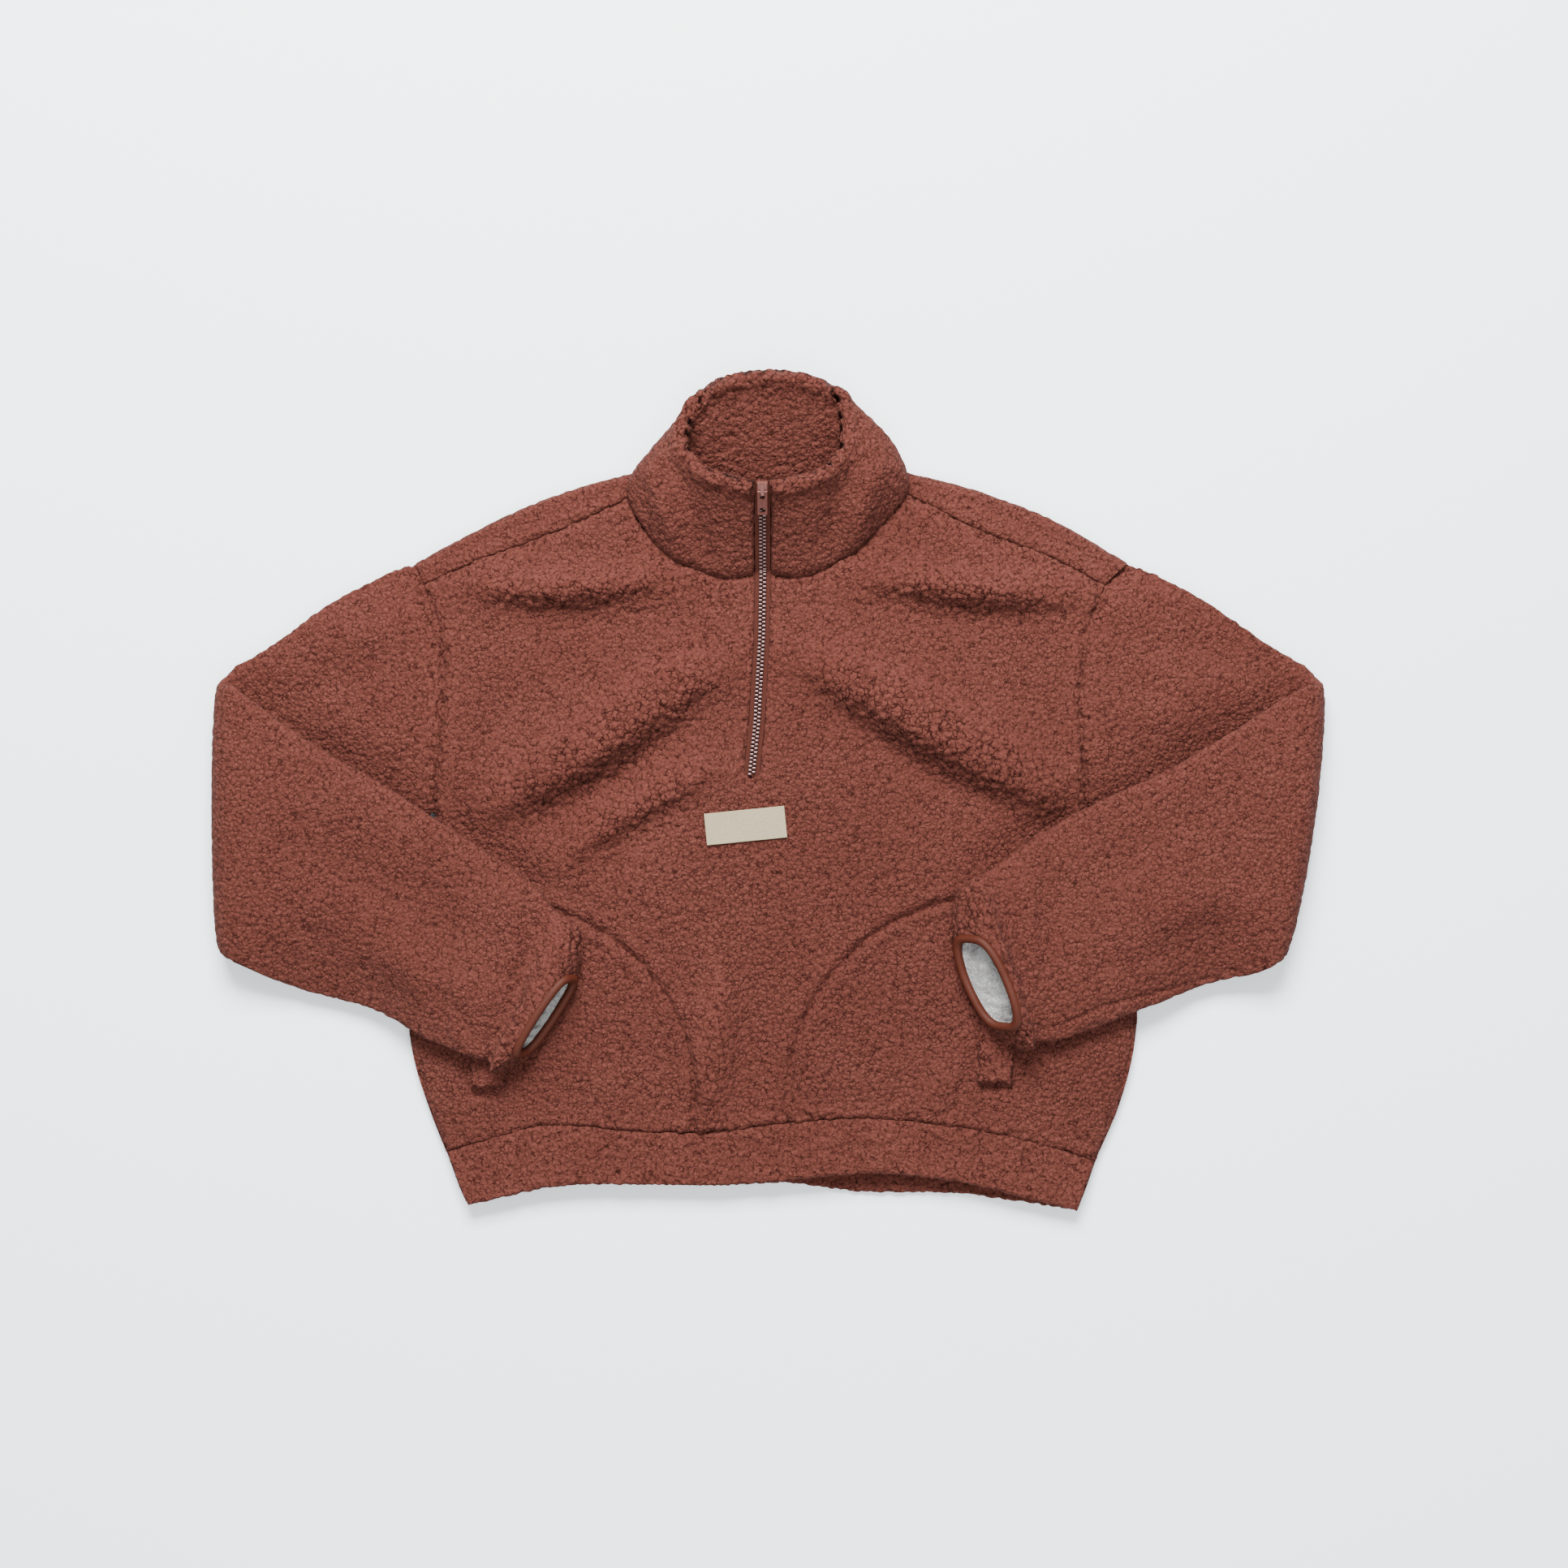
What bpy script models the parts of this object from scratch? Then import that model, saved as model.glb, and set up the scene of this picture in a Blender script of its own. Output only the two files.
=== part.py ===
"""Half-zip sherpa fleece, laid flat with both sleeves folded over the front.

Sizes are in millimetres and turn into metres where a mesh is made. +X is to the right of the garment
as it lies, +Y points from the hem to the collar, +Z is up. The origin is the middle of the floor under
the whole garment.
"""
import math
from collections import namedtuple

import bpy
import bmesh
import numpy as np
from mathutils import Matrix, Vector

MM = 0.001

# Cloth
WALL = 5.0                  # sherpa fleece with its pile
COLLAR_WALL = 11.0          # two layers of fleece
COLLAR_SEAM_SHARE = 0.5     # thickness left where the collar is sewn on
SLEEVE_WALL = 4.5
BAND_WALL = 5.0
WELT_WALL = 3.0
LABEL_WALL = 1.2
LINING_WALL = 1.0
SEAM = 0.5                  # gap between sewn pieces
LAYER_GAP = 0.3             # gap between pieces that lie on each other

# How the layers lie
PUFF = 8.0                  # how far the front stands off the back in the middle
PUFF_REACH = 30.0           # distance from a closed edge over which it rises
NECK_GAP = 2.6              # clear of the neck edge, because the collar leans back

# Zip
ZIP_SLOT_HALF = 6.0
TAPE_HALF = 5.6
TAPE_WALL = 1.2
CHAIN_HALF = 2.8
CHAIN_WALL = 2.2
SLIDER_SIZE = (8.4, 9.5, 4.6)
PULL_SIZE = (7.8, 21.0, 1.6)
PULL_HOLE_RADIUS = 2.4
PULL_SLOT = (3.6, 5.0)
PULL_TILT = math.radians(10)
BAR_RADIUS = 0.8
BRIDGE_WIDTH = 2.4
BRIDGE_LENGTH = 9.0
BRIDGE_RISE = 3.6
BRIDGE_WALL = 1.2

# Cuffs
BINDING_DEPTH = 7.0
BINDING_SWELL = (-0.4, 0.6, -0.4)
LINING_GAP = 1.1
LINING_RINGS = 5

# Grids: cells across and along each sheet
FRONT_CELLS = (26, 22)
SHOULDER_CELLS = 7          # of the front's and the back's cells across, on each shoulder
BACK_CELLS = (24, 16)
BAND_CELLS = (22, 2)
RING_POINTS = 16
COLLAR_CELLS = (44, 5)
LABEL_CELLS = (6, 2)
WELT_CELLS = (2, 8)
ON_TOP_GAP = 1.0            # clear of the flat facets below what lies on a panel

# Outline of the body, from the hem seam up to the underarm
SideRow = namedtuple("SideRow", "place left_x left_y right_x right_y")
SIDES = [
    SideRow("hem seam", -245, -276, 249, -283),
    SideRow("low hip", -258, -243, 268, -238),
    SideRow("hip", -272, -193, 280, -185),
    SideRow("waist", -264, -98, 269, -91),
    SideRow("underarm", -253, -17, 243, -17),
]
ARMHOLES = [
    SideRow("underarm", -253, -17, 243, -17),
    SideRow("low curve", -250, 25, 239, 20),
    SideRow("middle", -245, 70, 236, 65),
    SideRow("high curve", -250, 125, 242, 120),
    SideRow("shoulder seam", -261, 156, 255, 155),
]

# The back comes over the shoulder fold and ends at the seam on the front
ShoulderRow = namedtuple("ShoulderRow", "place left_x left_y right_x right_y")
SHOULDER_FOLD = [
    ShoulderRow("armhole", -268, 172, 273.5, 172),
    ShoulderRow("outer", -220, 198, 231, 198),
    ShoulderRow("inner", -156, 226, 166, 225),
    ShoulderRow("neck", -105, 240, 105, 241),
]
SHOULDER_SEAM = [
    ShoulderRow("armhole", -261, 156, 255, 155),
    ShoulderRow("outer", -220, 174, 220, 174),
    ShoulderRow("inner", -156, 198, 160, 197),
    ShoulderRow("neck", -107, 221, 105, 225),
]
NECK_SEAM = [
    ShoulderRow("shoulder", -107, 221, 105, 225),
    ShoulderRow("side", -94, 197, 82, 200),
    ShoulderRow("curve", -66, 172, 60, 177),
    ShoulderRow("front", -28, 161, 22, 162),
]
NECK_FRONT = (-4, 164)
BACK_NECK_Y = 238

# Hem: seam above, lower edge of the front band, lower edge of the back band
HemRow = namedtuple("HemRow", "seam_x seam_y edge_x edge_y back_y")
HEM = [
    HemRow(-245, -276, -228, -316, -316),
    HemRow(-166, -255, -157, -301, -302),
    HemRow(-98, -260, -90, -300, -301),
    HemRow(-37, -260, -29, -300, -302),
    HemRow(10, -254, 10, -297, -300),
    HemRow(70, -250, 70, -292, -307),
    HemRow(140, -256, 140, -297, -308),
    HemRow(202, -268, 195, -310, -315),
    HemRow(249, -283, 235, -320, -321),
]

# Largest folds of the front: a ridge from start to end, bowed to its left, soft on either side
FoldRow = namedtuple("FoldRow", "place x0 y0 x1 y1 bow height left_reach right_reach")
FOLDS = [
    FoldRow("left chest", -40, 102, -210, -18, 12, 7.0, 16, 24),
    FoldRow("left chest valley", -60, 68, -205, -40, 12, -3.0, 12, 14),
    FoldRow("left rib", -30, 20, -150, -52, -4, 4.0, 16, 20),
    FoldRow("right chest", 20, 108, 228, -13, -10, 6.0, 24, 16),
    FoldRow("right chest valley", 40, 76, 215, -34, -10, -3.0, 14, 12),
    FoldRow("left shoulder", -70, 168, -232, 160, 12, 5.0, 12, 16),
    FoldRow("right shoulder", 66, 170, 236, 152, -10, 5.0, 16, 12),
    FoldRow("lower middle", -46, -150, -47, -262, 0, 3.5, 18, 12),
    FoldRow("right pocket", 144, -190, 114, -252, 6, 3.0, 12, 16),
]

# Sleeve sections, armhole to fold to cuff. up and low are the ends of the flat section, half is its
# half thickness, drape is how far the low end sinks, from a fraction of the way across. set_back draws
# the upper wall of the cuff back from the lower one.
Section = namedtuple("Section", "up_x up_y low_x low_y half bow drape drape_from set_back")
LEFT_UPPER = [
    Section(-269.8, 171, -254.8, -17, 8.5, 1.0, 0, 0, 0),
    Section(-292, 163, -272, -30, 8.5, 0.6, 0, 0, 0),
    Section(-338, 138, -318, -59, 8.5, 0.2, 0, 0, 0),
    Section(-375, 111, -362, -88, 8.5, 0.0, 0, 0, 0),
    Section(-400, 96, -396, -110, 8.5, 0.0, 0, 0, 0),
]
LEFT_FOREARM = [
    Section(-388, 66, -384, -140, 8.5, 0.0, 6, 0.80, 0),
    Section(-345, 35, -350, -153, 8.5, 0.0, 14, 0.62, 0),
    Section(-290, 3, -300, -167, 8.5, 0.0, 14, 0.55, 0),
    Section(-235, -33, -258, -188, 8.5, 0.0, 2, 0.80, 0),
    Section(-183, -67, -222, -202, 8.5, 0.0, 0, 0.80, 0),
    Section(-155, -91, -206, -208, 9.0, 0.0, 0, 0.80, 6),
    Section(-139, -112, -194, -210, 11.0, 0.0, 0, 0.80, 15),
    Section(-135, -134, -183, -209, 13.5, 0.0, 0, 0.80, 21),
]
RIGHT_UPPER = [
    Section(275.4, 170.5, 244.8, -17, 8.5, 1.0, 0, 0, 0),
    Section(298, 162, 262, -30, 8.5, 0.6, 0, 0, 0),
    Section(340, 138, 310, -60, 8.5, 0.2, 0, 0, 0),
    Section(376, 113, 350, -92, 8.5, 0.0, 0, 0, 0),
    Section(402, 97, 377, -112, 8.5, 0.0, 0, 0, 0),
]
RIGHT_FOREARM = [
    Section(388, 68, 370, -139, 8.5, 0.0, 6, 0.80, 0),
    Section(345, 40, 333, -148, 8.5, 0.0, 14, 0.60, 0),
    Section(295, 11, 290, -164, 8.5, 0.0, 8, 0.62, 0),
    Section(240, -14, 247, -180, 8.5, 0.0, 2, 0.80, 0),
    Section(194, -42, 218, -190, 8.5, 0.0, 0, 0.80, 0),
    Section(160, -62, 198, -193, 9.5, 0.0, 0, 0.80, 6),
    Section(141, -82, 182, -193, 12.0, 0.0, 0, 0.80, 22),
    Section(131, -106, 164, -188, 15.5, 0.0, 0, 0.80, 41),
]

# Elbow folds: ends of the line that a sleeve folds round, on the upper arm's side and the forearm's
FoldLine = namedtuple("FoldLine", "up_x low_x arm_up_y arm_low_y fore_up_y fore_low_y")
LEFT_FOLD = FoldLine(-422, -419, 94, -112, 78, -126)
RIGHT_FOLD = FoldLine(425.6, 397.6, 94, -116, 78, -134)
FOLD_HALF = 8.5
FOLD_GAP = 0.7
FOLD_DRAW = 5.0             # how far the fold's ends draw in where it reaches out most
FOLD_STEPS = 6
UPPER_STEPS = 2
FOREARM_STEPS = 2
FOREARM_CLEAR = 1.0

# Collar, from the right of the zip round the back to its left: seam, rim and outward swell between
CollarRow = namedtuple("CollarRow", "place seam_x seam_y seam_z rim_x rim_y rim_z swell")
COLLAR = [
    CollarRow("zip right", 2.2, 164, 17, 2.2, 229, 57, 3),
    CollarRow("front right", 30, 163, 17, 33, 236, 54, 3),
    CollarRow("right front", 76, 194, 16, 53, 251, 46, 6),
    CollarRow("right", 100, 229, 13, 57, 266, 38, 12),
    CollarRow("right back", 91, 246, 9, 53, 288, 32, 13),
    CollarRow("back right", 44, 241, 6, 37, 309, 34, 0),
    CollarRow("back", 0, 240, 6, 2, 316, 32, 0),
    CollarRow("back left", -44, 241, 6, -38, 309, 34, 0),
    CollarRow("left back", -86, 247, 9, -55, 288, 32, 5),
    CollarRow("left", -101, 229, 13, -62, 266, 38, 6),
    CollarRow("left front", -84, 188, 16, -54, 247, 46, 6),
    CollarRow("front left", -38, 162, 17, -38, 237, 54, 3),
    CollarRow("zip left", -10.2, 164, 17, -10.2, 229, 57, 3),
]
COLLAR_CENTRE = (0, 232)

ZipRow = namedtuple("ZipRow", "place x y")
ZIP_LINE = [
    ZipRow("bottom", -12.7, 9.6),
    ZipRow("low", -8.4, 52),
    ZipRow("chest", -4.8, 117),
    ZipRow("neck seam", -4.0, 163),
]
SLIDER_Y = 227.0

LABEL_CENTRE = (-17, -27.5)
LABEL_SIZE = (61, 24)
LABEL_TURN = math.radians(5.7)
WELT_SIZE = (27, 138)
WeltRow = namedtuple("WeltRow", "name x low_y turn")
WELTS = [
    WeltRow("pocket_welt_left", -214, -226, math.radians(2)),
    WeltRow("pocket_welt_right", 175, -223, math.radians(-3)),
]

FLEECE = ("rust_sherpa", (0.30, 0.072, 0.043), 0.95, 0.0)
BINDING = ("elastic_binding", (0.17, 0.042, 0.018), 0.75, 0.0)
SATIN = ("satin_lining", (0.38, 0.37, 0.36), 0.4, 0.0)
LABEL_CLOTH = ("label_cloth", (0.62, 0.58, 0.47), 0.85, 0.0)
TAPE_CLOTH = ("zip_tape_cloth", (0.26, 0.07, 0.045), 0.85, 0.0)
TEETH = ("zip_teeth_metal", (0.38, 0.30, 0.31), 0.35, 0.8)
PAINT = ("zip_slider_paint", (0.27, 0.06, 0.035), 0.45, 0.2)


def clear_scene():
    for old in list(bpy.data.objects):
        bpy.data.objects.remove(old, do_unlink=True)


def material(spec):
    name, colour, roughness, metallic = spec
    found = bpy.data.materials.get(name)
    if found:
        return found
    made = bpy.data.materials.new(name)
    made.use_nodes = True
    shader = made.node_tree.nodes["Principled BSDF"]
    shader.inputs["Base Color"].default_value = (*colour, 1.0)
    shader.inputs["Roughness"].default_value = roughness
    shader.inputs["Metallic"].default_value = metallic
    return made


def collection(name):
    found = bpy.data.collections.get(name)
    if not found:
        found = bpy.data.collections.new(name)
        bpy.context.scene.collection.children.link(found)
    return found


def add_object(name, mesh, spec, group="half_zip_fleece"):
    made = bpy.data.objects.new(name, mesh)
    if spec:
        mesh.materials.append(material(spec))
    collection(group).objects.link(made)
    return made


def add_cutter(name, mesh):
    made = add_object(name, mesh, None, "cutters")
    made.hide_render = True
    made.display_type = "WIRE"
    return made


def cut(target, cutter, operation="DIFFERENCE"):
    made = target.modifiers.new(cutter.name, "BOOLEAN")
    made.operation = operation
    made.object = cutter
    made.solver = "EXACT"


# Curves and patches


def along(rows, fractions):
    """Points at fractions of the way along a smooth curve through the rows."""
    rows = np.asarray(rows, float)
    steps = np.linalg.norm(np.diff(rows, axis=0), axis=1)
    knots = np.concatenate([[0.0], np.cumsum(steps)])
    slopes = np.gradient(rows, knots, axis=0)
    at = np.asarray(fractions, float) * knots[-1]
    low = np.clip(np.searchsorted(knots, at, side="right") - 1, 0, len(knots) - 2)
    width = (knots[low + 1] - knots[low])[:, None]
    t = (at - knots[low])[:, None] / width
    start = (1 + 2 * t) * (1 - t) ** 2 * rows[low] + t * (1 - t) ** 2 * width * slopes[low]
    end = t * t * (3 - 2 * t) * rows[low + 1] + t * t * (t - 1) * width * slopes[low + 1]
    return start + end


def side_points(rows, side):
    """The rows' points on one side of the body."""
    if side < 0:
        return [(row.left_x, row.left_y) for row in rows]
    return [(row.right_x, row.right_y) for row in rows]


def patch(bottom, top, left, right):
    """A grid of points filled in between four edges that meet at their ends."""
    across = np.linspace(0, 1, len(bottom))[None, :, None]
    up = np.linspace(0, 1, len(left))[:, None, None]
    ruled = (1 - up) * bottom[None] + up * top[None] + (1 - across) * left[:, None] + across * right[:, None]
    corners = (
        (1 - up) * ((1 - across) * bottom[0] + across * bottom[-1])
        + up * ((1 - across) * top[0] + across * top[-1])
    )
    return ruled - corners


def smoothstep(value):
    value = np.clip(value, 0, 1)
    return value * value * (3 - 2 * value)


def distance_to(line, x, y):
    """Least distance from each point to a line made of straight runs."""
    best = np.full(np.shape(x), 1e9)
    for (ax, ay), (bx, by) in zip(line[:-1], line[1:]):
        dx, dy = bx - ax, by - ay
        t = np.clip(((x - ax) * dx + (y - ay) * dy) / (dx * dx + dy * dy), 0, 1)
        best = np.minimum(best, np.hypot(x - ax - t * dx, y - ay - t * dy))
    return best


# Heights


def fold_height(row, x, y):
    """Height that one ridge adds at each point."""
    run = np.array([row.x1 - row.x0, row.y1 - row.y0], float)
    length = np.hypot(*run)
    ahead = run / length
    t = ((x - row.x0) * ahead[0] + (y - row.y0) * ahead[1]) / length
    aside = (y - row.y0) * ahead[0] - (x - row.x0) * ahead[1]
    inside = np.clip(t, 0, 1)
    aside = aside - row.bow * 4 * inside * (1 - inside)
    reach = np.where(aside > 0, row.left_reach, row.right_reach)
    return row.height * np.sin(np.pi * inside) ** 0.8 * np.exp(-(aside / reach) ** 2)


def edge_distance(x, y):
    """Distance to the side seams and shoulder folds, where the front comes down to the back."""
    edge = np.full(np.shape(x), 1e9)
    for side in (-1, 1):
        for rows in (SIDES, SHOULDER_FOLD):
            edge = np.minimum(edge, distance_to(side_points(rows, side), x, y))
    return edge


def front_middle(x, y):
    """Height of the middle of the front panel's wall."""
    edge = edge_distance(x, y)
    total = WALL + LAYER_GAP + WALL / 2 + PUFF * (1 - np.exp(-edge / PUFF_REACH))
    fade = smoothstep(edge / 25)
    for row in FOLDS:
        total = total + fade * fold_height(row, x, y)
    return total


def on_front(x, y, lift):
    """Points a given height above the middle of the front panel's wall."""
    return np.stack([x, y, front_middle(x, y) + lift], axis=-1)


# Meshes


def grid_mesh(name, points):
    """A sheet of quads through a grid of points in millimetres, with rows first."""
    rows, columns = points.shape[:2]
    mesh = bpy.data.meshes.new(name)
    faces = []
    for row in range(rows - 1):
        for column in range(columns - 1):
            low = row * columns + column
            faces.append((low, low + 1, low + columns + 1, low + columns))
    mesh.from_pydata((points.reshape(-1, 3) * MM).tolist(), [], faces)
    return mesh


def add_wall(made, thickness):
    """Give an open surface its wall, half on each side."""
    wall = made.modifiers.new("wall", "SOLIDIFY")
    wall.thickness = thickness * MM
    wall.offset = 0.0
    return wall


def sheet(name, points, thickness, spec):
    made = add_object(name, grid_mesh(name, points), spec)
    add_wall(made, thickness)
    return made


def prism_mesh(name, outline, low, high):
    """A flat outline raised from one height to another."""
    shape = bmesh.new()
    corners = [shape.verts.new((x * MM, y * MM, low * MM)) for x, y in outline]
    face = shape.faces.new(corners)
    raised = bmesh.ops.extrude_face_region(shape, geom=[face])
    moved = [item for item in raised["geom"] if isinstance(item, bmesh.types.BMVert)]
    bmesh.ops.translate(shape, verts=moved, vec=(0, 0, (high - low) * MM))
    bmesh.ops.recalc_face_normals(shape, faces=shape.faces[:])
    mesh = bpy.data.meshes.new(name)
    shape.to_mesh(mesh)
    shape.free()
    return mesh


def box_mesh(name, size):
    """A box centred on its origin, sized in millimetres."""
    shape = bmesh.new()
    bmesh.ops.create_cube(shape, size=1.0, matrix=Matrix.Diagonal((*[side * MM for side in size], 1.0)))
    mesh = bpy.data.meshes.new(name)
    shape.to_mesh(mesh)
    shape.free()
    return mesh


def cylinder_mesh(name, radius, length, sides=16):
    """A cylinder about Z, sized in millimetres."""
    shape = bmesh.new()
    bmesh.ops.create_cone(
        shape, cap_ends=True, segments=sides, radius1=radius * MM, radius2=radius * MM, depth=length * MM
    )
    mesh = bpy.data.meshes.new(name)
    shape.to_mesh(mesh)
    shape.free()
    return mesh


# Body


def zip_x(y):
    """Where the zip line runs at a height on the front."""
    return np.interp(y, [row.y for row in ZIP_LINE], [row.x for row in ZIP_LINE])


def front_edges(cells):
    """The four edges of the front panel, with a seam's gap to what is sewn on."""
    across = np.linspace(0, 1, cells[0] + 1)
    up = np.linspace(0, 1, cells[1] + 1)
    bottom = along([(row.seam_x, row.seam_y + SEAM) for row in HEM], across)
    shoulder = np.linspace(0, 1, cells[0] * SHOULDER_CELLS // FRONT_CELLS[0] + 1)
    neck = np.linspace(0, 1, cells[0] + 1 - 2 * (len(shoulder) - 1))
    neck_line = side_points(NECK_SEAM, -1) + [NECK_FRONT] + side_points(NECK_SEAM, 1)[::-1]
    top = np.concatenate([
        along(side_points(SHOULDER_SEAM, -1), shoulder),
        along(neck_line, neck)[1:-1],
        along(side_points(SHOULDER_SEAM, 1), shoulder)[::-1],
    ])
    left = along(side_points(SIDES, -1) + side_points(ARMHOLES, -1)[1:], up)
    right = along(side_points(SIDES, 1) + side_points(ARMHOLES, 1)[1:], up)
    left[0], right[0] = bottom[0], bottom[-1]
    top[0], top[-1] = left[-1], right[-1]
    return bottom, top, left, right


def make_front():
    flat = patch(*front_edges(FRONT_CELLS))
    made = sheet("front_panel", on_front(flat[..., 0], flat[..., 1], 0), WALL, FLEECE)
    ys = np.linspace(ZIP_LINE[0].y - 1, NECK_FRONT[1] + 30, 12)
    xs = zip_x(ys)
    outline = [(x + ZIP_SLOT_HALF, y) for x, y in zip(xs, ys)]
    outline += [(x - ZIP_SLOT_HALF, y) for x, y in zip(xs[::-1], ys[::-1])]
    cut(made, add_cutter("zip_slot_cutter", prism_mesh("zip_slot_cutter", outline, -5, 80)))


def make_back():
    """A flat panel whose shoulders roll over to the seam on the front."""
    side_cells = SHOULDER_CELLS
    neck_cells = BACK_CELLS[0] - 2 * side_cells
    roll = {}
    for side in (-1, 1):
        steps = np.linspace(0, 1, side_cells + 1)
        roll[side] = (
            along(side_points(SHOULDER_FOLD, side), steps),
            along(side_points(SHOULDER_SEAM, side), steps),
        )
    radius = (LAYER_GAP + WALL + PUFF * 0.5) / 2
    left_roll = set_in(*roll[-1], radius + WALL / 2)
    right_roll = set_in(*roll[1], radius + WALL / 2)
    neck_x = np.linspace(left_roll[-1][0], right_roll[-1][0], neck_cells + 1)[1:-1]
    neck_y = np.interp(np.abs(neck_x), [0, 100], [BACK_NECK_Y, left_roll[-1][1]])
    top = np.concatenate([left_roll, np.stack([neck_x, neck_y], axis=1), right_roll[::-1]])
    columns = len(top)
    across = np.linspace(0, 1, columns)
    bottom = along([(row.seam_x, row.seam_y + SEAM) for row in back_hem()], across)
    up = np.linspace(0, 1, BACK_CELLS[1] + 1)
    left = along(side_points(SIDES, -1) + side_points(ARMHOLES, -1)[1:] + [tuple(top[0])], up)
    right = along(side_points(SIDES, 1) + side_points(ARMHOLES, 1)[1:] + [tuple(top[-1])], up)
    left[0], right[0] = bottom[0], bottom[-1]
    flat = patch(bottom, top, left, right)
    verts = [(x, y, WALL / 2) for x, y in flat.reshape(-1, 2)]
    faces = []
    for row in range(len(up) - 1):
        for column in range(columns - 1):
            low = row * columns + column
            faces.append((low, low + 1, low + columns + 1, low + columns))
    last = (len(up) - 1) * columns
    for side in (-1, 1):
        fold, seam = roll[side]
        base = [last + index if side < 0 else last + columns - 1 - index for index in range(side_cells + 1)]
        previous = base
        for step in strip_rows(fold, seam, radius):
            start = len(verts)
            verts.extend(step)
            current = list(range(start, start + side_cells + 1))
            for index in range(side_cells):
                face = (previous[index], previous[index + 1], current[index + 1], current[index])
                faces.append(face if side < 0 else face[::-1])
            previous = current
    mesh = bpy.data.meshes.new("back_panel")
    mesh.from_pydata([tuple(value * MM for value in vert) for vert in verts], [], faces)
    add_wall(add_object("back_panel", mesh, FLEECE), WALL)


def set_in(fold, seam, depth):
    """Points a depth in from the shoulder fold, on the way to the seam."""
    return fold + (seam - fold) * (depth / (fold[:, 1] - seam[:, 1]))[:, None]


def strip_rows(fold, seam, radius):
    """Rows of points round the shoulder fold and down the front to the seam."""
    rows = []
    for turn in np.radians((45, 90, 135)):
        plan = set_in(fold, seam, radius + WALL / 2 - radius * math.sin(turn))
        height = np.full(len(plan), WALL / 2 + radius * (1 - math.cos(turn)))
        rows.append(np.column_stack([plan, height]).tolist())
    start = set_in(fold, seam, radius + WALL / 2)
    for share in (0.5, 1.0):
        plan = start + share * (seam + [0, SEAM] - start)
        rows.append(np.column_stack([plan, front_middle(plan[:, 0], plan[:, 1])]).tolist())
    return rows


def back_hem():
    """The hem rows of the back, which hangs a little lower on the right."""
    return [row._replace(seam_y=row.seam_y + (row.back_y - row.edge_y)) for row in HEM]


def make_bands():
    across = np.linspace(0, 1, BAND_CELLS[0] + 1)
    up = np.linspace(0, 1, BAND_CELLS[1] + 1)[:, None]
    for name, rows, edge in (("front", HEM, "edge_y"), ("back", back_hem(), "back_y")):
        seam = along([(row.seam_x, row.seam_y - SEAM) for row in rows], across)
        low = along([(row.edge_x, getattr(row, edge)) for row in rows], across)
        flat = patch(low, seam, low[0] + up * (seam[0] - low[0]), low[-1] + up * (seam[-1] - low[-1]))
        x, y = flat[..., 0], flat[..., 1]
        height = front_middle(x, y) if name == "front" else np.full(x.shape, BAND_WALL / 2)
        sheet(f"hem_band_{name}", np.stack([x, y, height], axis=-1), BAND_WALL, FLEECE)


# Sleeves


def armhole_bow(side, shares):
    """How far the armhole curves in from its straight chord, from the shoulder down."""
    line = np.array([side_points(SHOULDER_FOLD, side)[0]] + side_points(ARMHOLES, side)[::-1], float)
    chord = (1 - shares)[:, None] * line[0] + shares[:, None] * line[-1]
    return along(line, shares) - chord


def ring_shares():
    """Position across the flat section and height share of each point round a ring."""
    angles = 2 * np.pi * np.arange(RING_POINTS) / RING_POINTS
    across = 0.5 - 0.5 * np.cos(angles)
    height = np.sign(np.sin(angles)) * np.abs(np.sin(angles)) ** 0.55
    return across, height


def welt_lift(x, y):
    """Height that the pocket welts add under the sleeves."""
    lift = np.zeros(np.shape(x))
    for row in WELTS:
        middle_y = row.low_y + WELT_SIZE[1] / 2
        aside = np.abs(x - row.x) / (WELT_SIZE[0] / 2 + 22)
        ahead = np.abs(y - middle_y) / (WELT_SIZE[1] / 2 + 30)
        inside = smoothstep((1 - aside) * 2.5) * smoothstep((1 - ahead) * 4)
        lift = np.maximum(lift, (WELT_WALL + ON_TOP_GAP) * inside)
    return lift


def inside_body(x, y):
    """How far inside the body's side edges a point is, from 0 outside to 1 well in."""
    left = np.interp(y, *zip(*[(row.left_y, row.left_x) for row in SIDES]))
    right = np.interp(y, *zip(*[(row.right_y, row.right_x) for row in SIDES]))
    return smoothstep((np.minimum(x - left, right - x) + 30) / 20)


def section_spine(row, shares, bow):
    """Plan positions across one section."""
    up = np.array([row.up_x, row.up_y], float)
    low = np.array([row.low_x, row.low_y], float)
    return (1 - shares)[:, None] * up + shares[:, None] * low + row.bow * bow


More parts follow.
